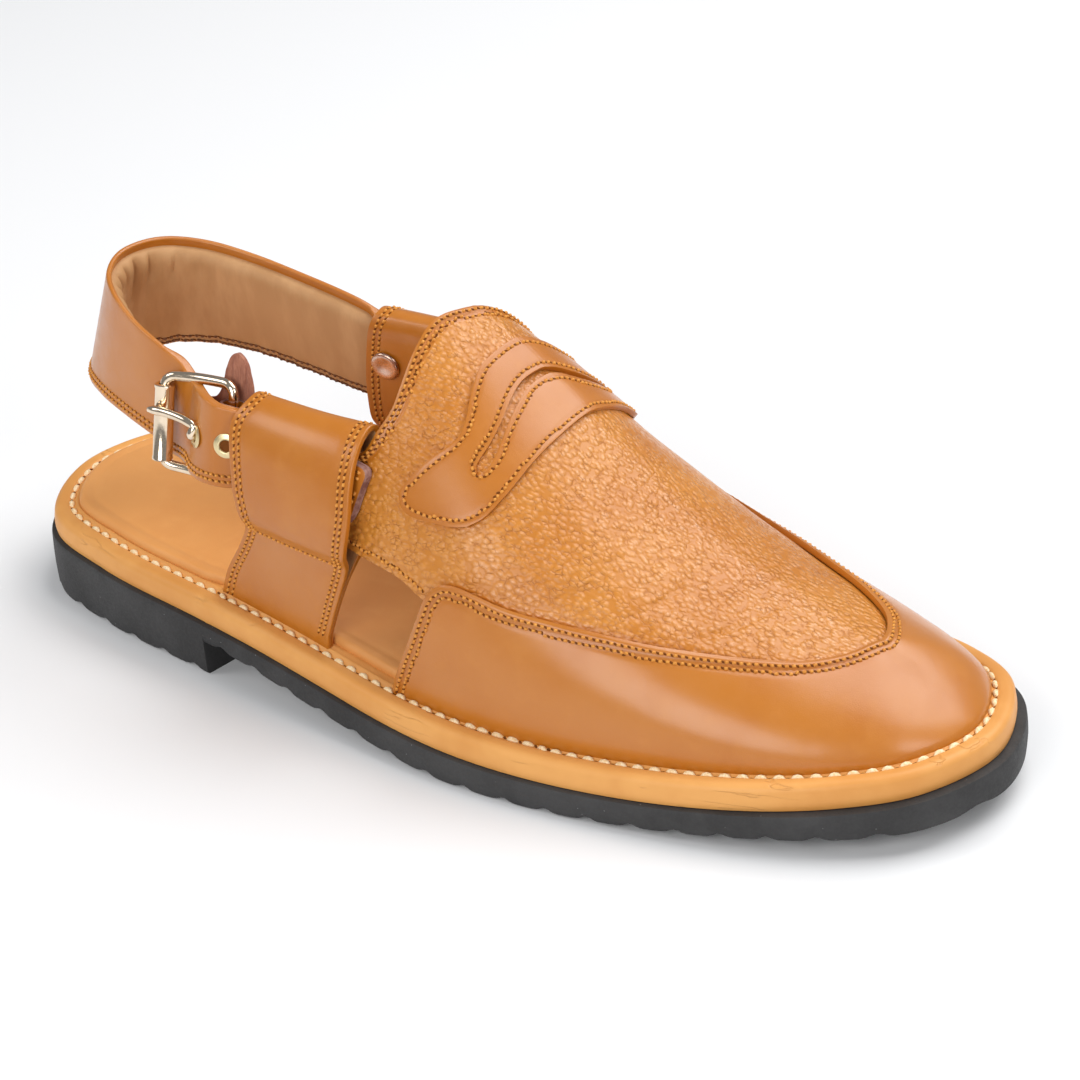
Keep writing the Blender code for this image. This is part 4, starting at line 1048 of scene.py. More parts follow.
# Heel strap, in mm: where it runs through the loops (station, bottom, top, offsets, thickness, bow) and round
# the heel (bottom edge, top edge, thickness), the padding with its gathers and creases, seams and holes
heelStrap = {
    "inInner": ((-21.0, 52.6, 77.4, 2.4, 2.2, 3.4, 0.7), (-36.0, 52.6, 78.6, 2.4, 1.4, 3.6, 0.7),
                (-50.0, 52.6, 80.0, 2.4, 0.6, 3.8, 0.6)),
    "round": (((-62.0, 28.4, 52.6), (-60.0, 23.4, 83.4), 4.2),
              ((-78.0, 27.4, 55.4), (-76.0, 22.0, 87.2), 4.6),
              ((-96.0, 24.4, 59.0), (-92.0, 19.4, 91.4), 4.6),
              ((-113.0, 18.6, 61.2), (-105.0, 14.6, 94.8), 4.6),
              ((-125.0, 8.6, 61.4), (-113.6, 7.0, 96.8), 4.6),
              ((-128.6, -3.0, 61.2), (-116.6, -2.6, 97.0), 4.6),
              ((-123.6, -13.6, 62.4), (-113.4, -11.6, 96.0), 4.6),
              ((-112.6, -21.4, 63.0), (-106.0, -18.6, 94.2), 4.4),
              ((-99.6, -26.2, 61.6), (-95.4, -23.4, 90.4), 4.0),
              ((-88.6, -28.6, 59.2), (-85.0, -26.2, 87.2), 3.4),
              ((-82.4, -29.7, 56.4), (-78.2, -27.0, 83.9), 2.8),
              ((-79.0, -31.0, 56.6), (-75.8, -27.7, 82.3), 2.8),
              ((-74.6, -33.6, 57.0), (-71.6, -29.6, 80.2), 2.8),
              ((-70.6, -36.6, 56.7), (-68.0, -32.4, 80.6), 2.8),
              ((-66.4, -38.6, 56.9), (-64.0, -35.0, 80.6), 2.8),
              ((-61.4, -39.6, 57.3), (-59.6, -36.0, 79.8), 2.8),
              ((-57.8, -39.1, 57.3), (-56.4, -34.9, 79.0), 2.8)),
    "inOuter": ((-53.6, 57.2, 78.0, 3.0, 2.4, 2.8, 0.3), (-44.0, 57.0, 77.2, 2.6, 2.2, 2.8, 0.5),
                (-30.0, 56.8, 75.8, 2.3, 2.0, 2.8, 0.5), (-20.0, 56.6, 75.0, 2.3, 2.0, 2.8, 0.4)),
    "end": (-12.6, 56.2, 73.6, 2.6), "endOffsets": (2.2, 2.0), "endBow": 0.3, "billet": 2.8, "shell": 1.5,
    "padFrom": -55, "padTo": -84.5, "padPoints": 34, "padFoot": 0.7, "fold": 2.4,
    "puff": 1.0, "gather": 0.75, "pressed": 0.35, "pressedAt": 3.2, "padSeams": (2.4, 4.1),
    "creases": ((-3, 1.3, 20), (-9, 0.8, 11), (-16, 1.2, 16), (-25, 0.7, 10), (6, 1.1, 14), (14, 0.8, 10)),
    "cornerLow": 6.5, "cornerHigh": 2.0, "cornerShare": 0.93, "facePoints": 22, "cornerPoints": 5,
    "prongHole": (-67.2, 0.50), "spareHole": (-57.0, 0.54), "rawFrom": -40, "seams": (1.8, 3.4),
    "seamEnds": 3.5, "seamLift": 0.5,
}


def strapRows():
    # rows along the strap, each the bottom point, the top point, the thickness and the bow

    def onSide(side, x, slant, low, high, nearLow, nearHigh, thick, bow):
        return (x - slant, side * (formY(side, x - slant, low) + nearLow), low,
                x + slant, side * (formY(side, x + slant, high) + nearHigh), high, thick, bow)

    rows = [onSide(1, x, 0.0, *rest) for x, *rest in heelStrap["inInner"]]
    rows += [low + high + (thick, 0.0) for low, high, thick in heelStrap["round"]]
    rows += [onSide(-1, x, 1.0, *rest) for x, *rest in heelStrap["inOuter"]]
    x, low, high, slant = heelStrap["end"]
    rows.append(onSide(-1, x, slant, low, high, *heelStrap["endOffsets"],
                       heelStrap["billet"], heelStrap["endBow"]))
    rows = smoothLine(np.array(rows, float), 10)
    # the end's corners are rounded
    left = strapRun(rows)
    left = left[-1] - left
    up = unit(rows[:, 3:6] - rows[:, :3])
    for key, columns, way in (("cornerLow", slice(0, 3), 1), ("cornerHigh", slice(3, 6), -1)):
        corner = heelStrap[key]
        short = corner - np.sqrt(np.clip(corner**2 - np.clip(corner - left, 0, corner) ** 2, 0, None))
        rows[:, columns] += way * up * (short * heelStrap["cornerShare"])[:, None]
    return rows


def strapRun(rows):
    return runLength((rows[:, :3] + rows[:, 3:6]) / 2)


def strapHeight(row):
    return np.linalg.norm(row[3:6] - row[:3])


def strapAxes(rows):
    low, high = rows[:, :3], rows[:, 3:6]
    along = unit(np.gradient((low + high) / 2, axis=0))
    up = unit(high - low)
    return along, up, unit(np.cross(along, up))


def onStrap(rows, axes, i, h, d):
    # points of row i at a height from the bottom edge and an offset out of the middle of the strap
    _, up, out = axes
    height = strapHeight(rows[i])
    h, d = np.asarray(h, float), np.asarray(d, float)
    d = d + 4 * rows[i, 7] * h * (height - h) / height**2
    return rows[i, :3] + h[:, None] * up[i] + d[:, None] * out[i]


def roundedBar(height, half, radius):
    # section ring of a flat bar: up the outer face, over the top, down the inner face
    corner = np.linspace(0, np.pi / 2, heelStrap["cornerPoints"] + 1)
    face = np.linspace(radius, height - radius, heelStrap["facePoints"])
    top = [(height - radius + radius * math.sin(a), half - radius + radius * math.cos(a)) for a in corner[1:]]
    ring = [(h, half) for h in face] + top
    ring += [(h, -d) for h, d in top[::-1]] + [(h, -half) for h in face[::-1]]
    bottom = [(radius - radius * math.sin(a), -half + radius - radius * math.cos(a)) for a in corner[1:]]
    ring += bottom + [(h, -d) for h, d in bottom[::-1]]
    return np.array(ring)


def padShare(rows):
    # 1 where the strap is padded, 0 where it's plain strap
    run = strapRun(rows)
    start = run[int(np.argmin(np.abs(rows[:40, 0] - heelStrap["padFrom"])))]
    outer = np.arange(len(rows)) > len(rows) // 2
    stop = run[int(np.argmin(np.where(outer, np.abs(rows[:, 0] - heelStrap["padTo"]), 1e9)))]
    return gentle(run, start - 3, start + 3) * (1 - gentle(run, stop - 4, stop + 2)), run


def ringsObject(name, rings, capped=True, kinds=None):
    # a closed skin whose columns run along the piece and whose rows run round it
    rings = np.array(rings)
    closed = np.concatenate([rings, rings[:, :1]], axis=1)
    obj = sheetObject(name, closed, closedColumns=True, kinds=kinds)
    if capped:
        pick(obj)
        bpy.ops.object.mode_set(mode="EDIT")
        bpy.ops.mesh.select_all(action="DESELECT")
        bpy.ops.mesh.select_non_manifold()
        bpy.ops.mesh.edge_face_add()
        bpy.ops.object.mode_set(mode="OBJECT")
    return obj


def makeHeelStrap():
    # the strap itself, thin where the padding lies on it, with raw edges at its billet end
    rows = strapRows()
    axes = strapAxes(rows)
    padded, run = padShare(rows)
    rings = []
    for i, row in enumerate(rows):
        half = row[6] / 2
        wall = half + (heelStrap["shell"] / 2 - half) * padded[i]
        ring = roundedBar(strapHeight(row), wall, min(wall * 0.9, 0.65))
        h, d = ring[:, 0], ring[:, 1] + half - wall + 0.12 * np.sin(run[i] / 9 + ring[:, 0] / 11) * padded[i]
        rings.append(onStrap(rows, axes, i, h, d))
    kinds = np.zeros((len(rows) - 1, len(ring)), int)
    plain = (np.arange(len(rows) - 1) > len(rows) // 2) & (rows[:-1, 0] > heelStrap["rawFrom"])
    # the cells over its top edge and round its bottom edge
    for cell in (*range(22, 30), *range(55, 62)):
        kinds[plain, cell] = 1
    obj = ringsObject("heelStrap", rings, kinds=kinds)
    end = Vector(toFrame(np.mean(rings[-1], axis=0)))
    for face in obj.data.polygons:
        if len(face.vertices) > 8 and (face.center - end).length < 0.005:
            face.material_index = 1
    lines = []
    for distance in heelStrap["seams"]:
        for fromTop in (False, True):
            for face in (1, -1):
                line = []
                for i in range(2, len(rows) - 2):
                    lining = fromTop and (i < len(rows) // 2 or rows[i, 0] < heelStrap["rawFrom"])
                    if lining or (face < 0 and padded[i] > 0.02):
                        continue
                    h = strapHeight(rows[i]) - distance if fromTop else distance
                    line.append(onStrap(rows, axes, i, [h],
                                        [face * (rows[i, 6] / 2 + heelStrap["seamLift"])])[0])
                line = np.array(line)
                if face > 0:
                    lines.append(line)
                else:
                    gap = [k for k in range(1, len(line)) if np.linalg.norm(line[k] - line[k - 1]) > 20]
                    lines += [part for part in np.split(line, gap) if len(part) > 6]
    ends = np.linspace(heelStrap["seamEnds"], strapHeight(rows[-1]) - heelStrap["seamEnds"], 20)
    across = onStrap(rows, axes, len(rows) - 1, ends, np.full(20, rows[-1, 6] / 2 + heelStrap["seamLift"]))
    lines += [across - axes[0][-1] * distance for distance in heelStrap["seams"]]
    return obj, lines, rows, axes, padded, run


def makeHeelPad(rows, axes, padded, run):
    # a crowned lining on the strap's inner face, folded under at the top, gathered most round the heel
    inside = np.where(padded > 0.02)[0]
    centre = run[int(np.argmin(rows[:, 0]))]
    count = heelStrap["padPoints"]
    rings = []
    for i in inside:
        half, at = rows[i, 6] / 2, run[i]
        low, high = heelStrap["padFoot"], strapHeight(rows[i]) - heelStrap["fold"]
        h = low + (high - low) * (1 - np.cos(np.linspace(0, np.pi, count))) / 2
        t = (h - low) / (high - low)
        outerFace = np.full(count, half - heelStrap["shell"] + 0.3)
        roundLow = np.sqrt(1 - (1 - np.clip(t / 0.06, 0, 1)) ** 2)
        roundHigh = np.sqrt(1 - (1 - np.clip((1 - t) / 0.11, 0, 1)) ** 2)
        puff = heelStrap["puff"] * np.sin(np.pi * t) ** 0.6
        heel = math.exp(-((rows[i, 1] + 2) / 14) ** 2) * (rows[i, 0] < -100)
        wave = math.sin(at * 1.15) + 0.6 * math.sin(at * 0.63 + 1.0) + 0.5 * math.sin(at * 2.3 + 2)
        nearEdges = np.exp(-((1 - t) / 0.28) ** 2) + 0.7 * np.exp(-(t / 0.25) ** 2)
        gather = heelStrap["gather"] * wave * (0.25 + heel) * nearEdges
        pressed = heelStrap["pressed"] * np.exp(-((h - heelStrap["pressedAt"]) / 1.2) ** 2)
        for place, depth, length in heelStrap["creases"]:
            away = at - centre - place - 0.12 * (high - h)
            pressed = pressed + (depth * np.exp(-(away / 1.2) ** 2)
                                 * (1 - gentle(high - h, length * 0.4, length)))
        innerFace = -(half + puff + gather - pressed) * roundLow * roundHigh
        innerFace = np.minimum(innerFace, outerFace - 0.4)
        innerFace = outerFace - 0.4 + (innerFace - outerFace + 0.4) * padded[i]
        rings.append(np.concatenate([onStrap(rows, axes, i, h, outerFace),
                                     onStrap(rows, axes, i, h[::-1], innerFace[::-1])]))
    seams = [np.array([onStrap(rows, axes, i, [h], [-rows[i, 6] / 2 - 1.2])[0] for i in inside[6:-6]])
             for h in heelStrap["padSeams"]]
    return ringsObject("heelPad", rings), seams


def strapSpot(rows, axes, station, share):
    # a place on the strap's outer half and the directions along, up and out there
    ends = rows[:, :3] + share * (rows[:, 3:6] - rows[:, :3])
    i = len(rows) // 2 + int(np.argmin(np.abs(ends[len(rows) // 2:, 0] - station)))
    along, _, out = (a[i] for a in axes)
    return ends[i], along, unit(np.cross(out, along)), out


def facedOut(obj):
    # the closed mesh with all its faces turned outward and its round parts shaded smooth
    pick(obj)
    bpy.ops.object.mode_set(mode="EDIT")
    bpy.ops.mesh.select_all(action="SELECT")
    bpy.ops.mesh.normals_make_consistent(inside=False)
    bpy.ops.object.mode_set(mode="OBJECT")
    smoothShade(obj, 50)
    return obj


def turnedObject(name, centre, along, up, out, profile, sides):
    # a ring or a cap turned round the outward direction; profile holds radius and height
    angles = np.linspace(0, 2 * np.pi, sides, endpoint=False)
    profile = np.asarray(profile, float)
    rows = [centre + r * (np.cos(angles)[:, None] * along + np.sin(angles)[:, None] * up) + h * out
            for r, h in profile]
    sheet = np.array(rows).transpose(1, 0, 2)
    sheet = np.concatenate([sheet, sheet[:1]])
    sheet = np.concatenate([sheet, sheet[:, :1]], axis=1)
    return facedOut(sheetObject(name, sheet, closedColumns=True))


def barObject(name, path, radii, sides=20, closed=False, flat=1.0, outward=None):
    # a rounded bar along a path; flat squeezes it along the given direction
    path = np.asarray(path, float)
    if closed:
        along = unit(np.roll(path, -1, axis=0) - np.roll(path, 1, axis=0))
    else:
        along = unit(np.gradient(path, axis=0))
    hold = outward if outward is not None else np.array([0.3, 0.9, 0.2])
    rings = []
    angles = np.linspace(0, 2 * np.pi, sides, endpoint=False)
    for p, a, r in zip(path, along, np.broadcast_to(radii, len(path))):
        first = unit(hold - a * np.dot(hold, a))
        second = unit(np.cross(a, first))
        if outward is None:
            hold = first
        rings.append(p + r * (np.cos(angles)[:, None] * first * flat + np.sin(angles)[:, None] * second))
    rings = np.array(rings)
    if closed:
        rings = np.concatenate([rings, rings[:1]])
    return facedOut(ringsObject(name, rings, capped=not closed))


# Buckle, in mm: its frame is bowed and a little wider at the hinge; the prong runs from the roller (ahead,
# out, up) through the strap's hole (depths) to the hinge (behind, in, down), round which it coils
buckle = {
    "roller": (-81.35, -34.1, 68.3), "up": (0.03, 0.24, 0.97), "ahead": (0.994, 0.105, -0.02),
    "span": 21.5, "above": 12.9, "below": 11.5, "widening": 0.06, "bow": 1.3, "wire": 1.42, "corner": 3.0,
    "rollerRadius": 2.7, "rollerLength": 21.0, "prongWire": 1.22,
    "prong": ((-2.5, 3.2, 3.6), (-0.4, 3.95, 4.0), (3.2, 4.1, 4.1), (7.0, 4.5, 3.9), (10.6, 4.9, 3.3),
              (12.9, 5.0, 2.3)),
    "prongDepths": (2.6, 0.0, -2.8), "prongTail": ((4.6, 3.2, 0.2), (2.6, 2.9, 1.0)),
    "coil": 1.95, "coilWire": 0.55, "coilDrop": 1.2,
    "chapeHeight": 19.0, "chapeRise": -0.8, "chapeEnd": -47.5, "chapeOffset": -0.6, "chapeWall": 1.0,
    "chapeSlot": (-3.3, 0.3, -6.0, 3.5),
}


def buckleAxes():
    ahead = unit(buckle["ahead"])
    out = unit(np.cross(ahead, buckle["up"]))
    return ahead, unit(np.cross(out, ahead)), out


def makeBuckle(hole):
    # the frame, the roller on its rear bar and the prong; returned with the middle of the hinge bar
    ahead, up, out = buckleAxes()
    roller = np.array(buckle["roller"])
    span, curve = buckle["span"], buckle["corner"]
    high, low = buckle["above"] - curve, curve - buckle["below"]
    corners = []
    for start, cx, cz in ((0, span - curve, high), (90, curve, high),
                          (180, curve, low), (270, span - curve, low)):
        for degrees in np.linspace(start, start + 90, 9):
            angle = math.radians(degrees)
            corners.append((cx + curve * math.cos(angle), cz + curve * math.sin(angle)))
    corners.append(corners[0])
    flat = resample(np.array(corners), pitch=1.0)[:-1]
    a, h = flat[:, :1], flat[:, 1:]
    bow = buckle["bow"] * np.sin(np.pi * np.clip(a / span, 0, 1))
    path = roller + a * ahead + (h + np.sign(h) * buckle["widening"] * a) * up - bow * out
    made = [barObject("buckleFrame", path, buckle["wire"], 20, closed=True, flat=0.95, outward=out)]
    inner, outer, length = buckle["wire"] + 0.15, buckle["rollerRadius"], buckle["rollerLength"] / 2
    half = [(outer - 0.06, 1.15), (outer + 0.08, 0.9), (outer + 0.08, 0.25), (outer - 0.3, 0), (inner, 0)]
    profile = ([(r, h - length) for r, h in half[::-1]] + [(outer - 0.06, 0)]
               + [(r, length - h) for r, h in half])
    made.append(turnedObject("buckleRoller", roller, ahead, np.cross(up, ahead), up, profile, 40))
    hinge = roller + span * ahead
    centre, _, _, straight = hole
    points = [roller + a * ahead + o * out + h * up for a, o, h in buckle["prong"]]
    points += [centre + d * straight for d in buckle["prongDepths"]]
    points += [hinge - a * ahead - o * out - h * up for a, o, h in buckle["prongTail"]]
    wire, coil = buckle["prongWire"], buckle["coil"]
    radii = [wire * 0.7] + [wire] * (len(points) - 1)
    for k in range(8):
        angle = math.radians(-96 + 40 * k)
        points.append(hinge + coil * (math.cos(angle) * ahead + math.sin(angle) * out)
                      - buckle["coilDrop"] * up)
        radii.append(buckle["coilWire"])
    smooth = smoothLine(np.column_stack([points, radii]), 6)
    made.append(barObject("buckleProng", smooth[:, :3], smooth[:, 3], 18))
    return made, hinge


def makeChape(hinge):
    # leather folded round the hinge bar and carried into the outer loop, with a slot for the prong
    ahead, up, out = buckleAxes()
    wall = buckle["chapeWall"]
    bar = buckle["wire"] + 0.25 + wall
    columns = []
    for h in np.linspace(-0.5, 0.5, 43) * buckle["chapeHeight"]:
        middle = hinge + h * up
        z = middle[2] + buckle["chapeRise"]
        end = np.array([buckle["chapeEnd"],
                        -float(formY(-1, buckle["chapeEnd"], z)) - buckle["chapeOffset"], z])
        gap = end - middle
        reach, shift, rise = gap @ ahead, gap @ out, gap @ up
        half = [(reach, wall), (reach * 0.6, wall), (4.5, wall), (2.2, 2.2), (0.0, bar),
                (-0.72 * bar, 0.72 * bar)]
        section = half + [(-bar, 0.0)] + [(a, -o) for a, o in half[::-1]]
        column = []
        for a, o in smoothLine(section, 5):
            share = min(max((a - 1.0) / (reach - 1.0), 0.0), 1.0)
            column.append(middle + a * ahead + (o + shift * share) * out + rise * share * up)
        columns.append(column)
    sheet = np.array(columns)[::-1]
    middles = (sheet[:-1, :-1] + sheet[1:, 1:]) / 2 - hinge
    low, high, rear, front = buckle["chapeSlot"]
    keep = ~((middles @ up > low) & (middles @ up < high)
             & (middles @ ahead > rear) & (middles @ ahead < front))
    return giveWall(sheetObject("buckleChape", sheet, keep=keep), wall - 0.1, 0.25, rimSlot=1)


# Guard behind the buckle: station, middle at mid height, bottom edge, top edge, in mm
guard = {
    "shape": ((-82.0, -25.2, 66.6, 69.0), (-80.6, -25.5, 62.8, 71.6), (-77.4, -26.0, 60.0, 72.8),
              (-72.0, -26.6, 58.6, 74.0), (-68.0, -27.0, 58.0, 76.0), (-66.2, -27.2, 57.9, 79.6),
              (-65.2, -27.3, 57.8, 83.6), (-63.8, -27.3, 57.8, 86.8), (-61.6, -27.5, 57.8, 88.5),
              (-59.4, -27.6, 57.8, 87.6), (-57.6, -27.8, 58.0, 84.6), (-56.2, -28.0, 58.2, 80.6)),
    "lean": 0.18, "wall": 1.3, "middle": 67.0, "waves": 0.35, "nap": 0.16, "points": 40,
}


def makeGuard():
    rows = smoothLine(guard["shape"], 8)
    columns = []
    for x, y, low, high in rows:
        z = np.linspace(low, high, guard["points"])
        columns.append(np.stack([np.full(len(z), x), y + guard["lean"] * (z - guard["middle"]), z], axis=-1))
    sheet = np.array(columns)
    sheet[..., 1] += guard["waves"] * wander(sheet, 7, 4.2)
    sheet += guard["nap"] * wander(sheet, 1.3, 2.2)[..., None] * np.array([1, 0, 1])
    obj = sheetObject("buckleGuard", sheet)
    return giveWall(obj, guard["wall"], 0.4, 3, offset=0.0)


# Eyelets: radii of bore and flange, and half their height, in mm
eyelet = {"bore": 1.65, "flange": 3.35, "face": 1.4}


def makeEyelet(name, hole):
    # a flat washer with a rolled bore, and a dark disc behind it as painted shade in the hole
    bore, flange, face = (eyelet[k] for k in ("bore", "flange", "face"))
    profile = [(bore, -face - 0.1), (bore + 0.5, -face - 0.1), (bore + 0.5, face), (flange, face + 0.02),
               (flange + 0.05, face + 0.22), (flange - 0.25, face + 0.42), (bore + 0.95, face + 0.44),
               (bore + 0.6, face + 0.62), (bore + 0.25, face + 0.62), (bore, face + 0.35)]
    # painted shade: a dark disc that closes the bore
    disc = [(0.01, face + 0.08), (bore + 0.1, face + 0.08), (bore + 0.1, face - 0.9), (0.01, face - 0.9)]
    return turnedObject(name, *hole, profile, 36), turnedObject(name + "Hole", *hole, disc, 24)


# Rivets, in mm: how deep they sit under the foot form, station and height of each, a cap's radii and heights
rivet = {
    "sunk": 5.2, "outer": (-26.2, 68.2), "inner": (-49.4, 68.6),
    "cap": ((1.15, -1.6), (1.15, 0.1), (3.9, 0.1), (4.25, 0.35), (4.2, 0.75), (3.8, 1.05), (3.1, 1.15),
            (2.2, 1.02), (1.2, 0.86), (0.45, 0.8), (0.05, 0.79)),
}


def makeRivet(name, side, x, z):
    # a domed cap on a loop's inner face, turned towards the foot
    at = np.array([x, side * float(formY(side, x, z)), z])
    along = unit(np.array([2.0, side * float(formY(side, x + 1, z) - formY(side, x - 1, z)), 0]))
    rise = unit(np.array([0, side * float(formY(side, x, z + 1) - formY(side, x, z - 1)), 2.0]))
    out = unit(np.cross(along, rise)) * (1 if side < 0 else -1)
    along = unit(np.cross((0.0, 0.0, 1.0), -out))
    up = unit(np.cross(-out, along))
    return turnedObject(name, at - out * rivet["sunk"], along, up, -out, rivet["cap"], 40)


heel, heelLines, rows, axes, padded, run = makeHeelStrap()
settle(heel, ("smoothLeather", "rawEdge"), ["heel_strap"])
smoothShade(heel, 55)
pad, padLines = makeHeelPad(rows, axes, padded, run)
smoothShade(pad, 60)
settle(pad, ("liningLeather",))
sewSeams("heelPadSeams", padLines, pad, "brownThread")
sewSeams("heelStrapSeams", heelLines, heel)
prongHole, spareHole = (strapSpot(rows, axes, *heelStrap[k]) for k in ("prongHole", "spareHole"))
for name, place, replaced in (("eyeletProng", prongHole, "eyelet_prong"),
                              ("eyeletSpare", spareHole, "eyelet_spare")):
    ring, holeShadeDisc = makeEyelet(name, place)
    settle(ring, ("eyeletBrass",), [replaced])
    settle(holeShadeDisc, ("holeShade",))
metalPieces, hinge = makeBuckle(prongHole)
for obj, replaced in zip(metalPieces, ("buckle_frame", "buckle_roller", "buckle_prong")):
    settle(obj, ("goldPlate",), [replaced])
settle(makeChape(hinge), ("smoothLeather", "rawEdge"), ["buckle_chape"])
settle(makeGuard(), ("suede",), ["buckle_guard"])
settle(makeRivet("rivetOuter", -1, *rivet["outer"]), ("rivetMetal",), ["rivet_outer"])
settle(makeRivet("rivetInner", 1, *rivet["inner"]), ("rivetMetal",), ["rivet_inner"])
print("strap and buckle ready")


# Sole parts, in mm: the tread's waves, the welt and its groove in from the sole edge, and the footbed
tread = {
    "perimeter": 620, "toeSpread": 1.3, "wavePitch": 12.0, "waveDepth": 1.1, "waveSway": 2.0,
    "midsoleRound": 2.3, "grooveInset": 6.8, "grooveDepth": 0.75, "grooveWidth": 0.85, "lip": 0.28,
    "insoleInset": 8.8, "insoleFront": 11.0, "insoleToe": 17.5, "insoleHeight": 2.3, "insoleRound": 1.7,
    "seatDip": 0.22, "seatDipAt": 2.6, "crown": 0.35, "edgeWaves": 0.10, "seatWaves": 0.16,
}


def soleBase():
    # points round the sole edge, the way inward there, and the middle line they close on
    edge = soleEdge(0.0, 60)
    edge = np.concatenate([edge, edge[:1]])
    base = resample(edge, count=tread["perimeter"] + 1)[:-1]
    for low, high in ((0, tread["perimeter"] // 2), (tread["perimeter"] // 2, tread["perimeter"])):
        near = low + int(np.argmin(np.abs(base[low:high, 0] - sole["breastX"])))
        step = 1 if low == 0 else -1
        base[near, 0] = sole["breastX"] - 0.06
        base[near + step, 0] = sole["breastX"] + 0.06
    along = unit(np.roll(base, -3, axis=0) - np.roll(base, 3, axis=0))
    inward = np.stack([-along[:, 1], along[:, 0]], axis=1)
    x = np.clip(base[:, 0], -112, 104)
    middle = np.stack([x, (featherY(1, x) - featherY(-1, x)) / 2], axis=1)
    return base, inward, middle


def plateObject(name, layers):
    # layers run from the middle of the underside out, up and back in: each is a plan position and a height
    sheet = np.array([np.column_stack([plan, z]) for plan, z in layers]).transpose(1, 0, 2)
    sheet = np.concatenate([sheet, sheet[:1]])
    obj = sheetObject(name, sheet, closedColumns=True)
    smoothShade(obj, 40)
    return obj


def layer(base, inward, inset, level, rise):
    # one layer of a plate, in from the sole edge, at a height over a level line
    plan = base + inward * inset
    return plan, level(plan[:, 0]) + rise


def treadRise(plan):
    # how far the tread's wavy grooves lift the underside
    x, y = plan[:, 0], plan[:, 1]
    wave = 0.5 + 0.5 * np.cos(2 * np.pi * (x + tread["waveSway"] * np.sin(y / 7.5)) / tread["wavePitch"])
    return tread["waveDepth"] * wave**4


def underside(base):
    x = base[:, 0]
    return np.where(x < sole["breastX"], 0.0, readTable(sole["underside"], x))


def makeOutsole():
    # the underside with its waves from the middle out, the side wall, and the ledge under the midsole
    base, inward, middle = soleBase()
    low, high = underside(base), ledgeZ(base[:, 0])
    layers = []
    inner = base + inward * 12
    for share in np.linspace(1, 0, 26)[:-1]:
        plan = inner + (middle - inner) * share
        layers.append((plan, low + treadRise(plan)))
    for inset in (12, 10.5, 9, 7.5, 6, 4.5, 3, 1.6, 0.7, 0.25):
        plan = base + inward * inset
        layers.append((plan, low + treadRise(plan) + 0.5 * math.exp(-(inset / 0.5) ** 2)))
    rise = treadRise(base)
    spread = tread["toeSpread"] * gentle(base[:, 0], 80, 135)[:, None]
    for share in np.linspace(0, 1, 16):
        z = low + 1.0 + (high - 0.7 - low - 1.0) * share + rise * math.exp(-share * 3.2)
        layers.append((base - inward * (0.25 * math.sin(math.pi * share) + spread), z))
    layers.append((base + inward * (0.2 - spread), high - 0.2))
    layers += [layer(base, inward, inset, ledgeZ, 0.0) for inset in (0.7, 2.0, 6.0, 12.0)]
    layers.append((middle, ledgeZ(middle[:, 0])))
    return plateObject("outsoleRubber", layers)


def makeMidsole():
    # the welt: its side, the rounded upper edge and the stitch groove; returned with the line of the stitches
    base, inward, middle = soleBase()
    out, r, groove = sole["midsoleInset"], tread["midsoleRound"], tread["grooveInset"]
    side = sole["midsoleHeight"] + sole["gap"] - r
    layers = [(middle, ledgeZ(middle[:, 0]) + 0.04)]
    layers += [layer(base, inward, inset, ledgeZ, 0.04) for inset in (12.0, 4.0, out + 0.3)]
    for share in np.linspace(0, 1, 8):
        bulge = 0.3 * math.sin(math.pi * share)
        layers.append(layer(base, inward, out - bulge, ledgeZ, 0.25 + (side - 0.25) * share))
    for angle in np.linspace(0, math.pi / 2, 9)[1:]:
        layers.append(layer(base, inward, out + r - r * math.cos(angle), midsoleTop, r * math.sin(angle) - r))
    for inset in np.concatenate([np.arange(4.3, 5.6, 0.4), np.arange(5.6, 9.2, 0.2), [10, 11, 12.5]]):
        dip = -tread["grooveDepth"] * math.exp(-((inset - groove) / tread["grooveWidth"]) ** 2)
        dip += tread["lip"] * math.exp(-((inset - groove - 1.6) / 0.5) ** 2)
        layers.append(layer(base, inward, inset, midsoleTop, dip))
    layers.append((middle, midsoleTop(middle[:, 0]) - 0.3))
    stitchLine = soleEdge(groove, 60)
    stitchLine = np.concatenate([stitchLine, stitchLine[:1]])
    return plateObject("midsoleWelt", layers), np.column_stack([stitchLine, midsoleTop(stitchLine[:, 0])])


def insoleInset(x):
    rear, front, toe = tread["insoleInset"], tread["insoleFront"], tread["insoleToe"]
    return rear + (front - rear) * gentle(x, -76, -64) + (toe - front) * np.clip((x - 84) / 50, 0, 1)


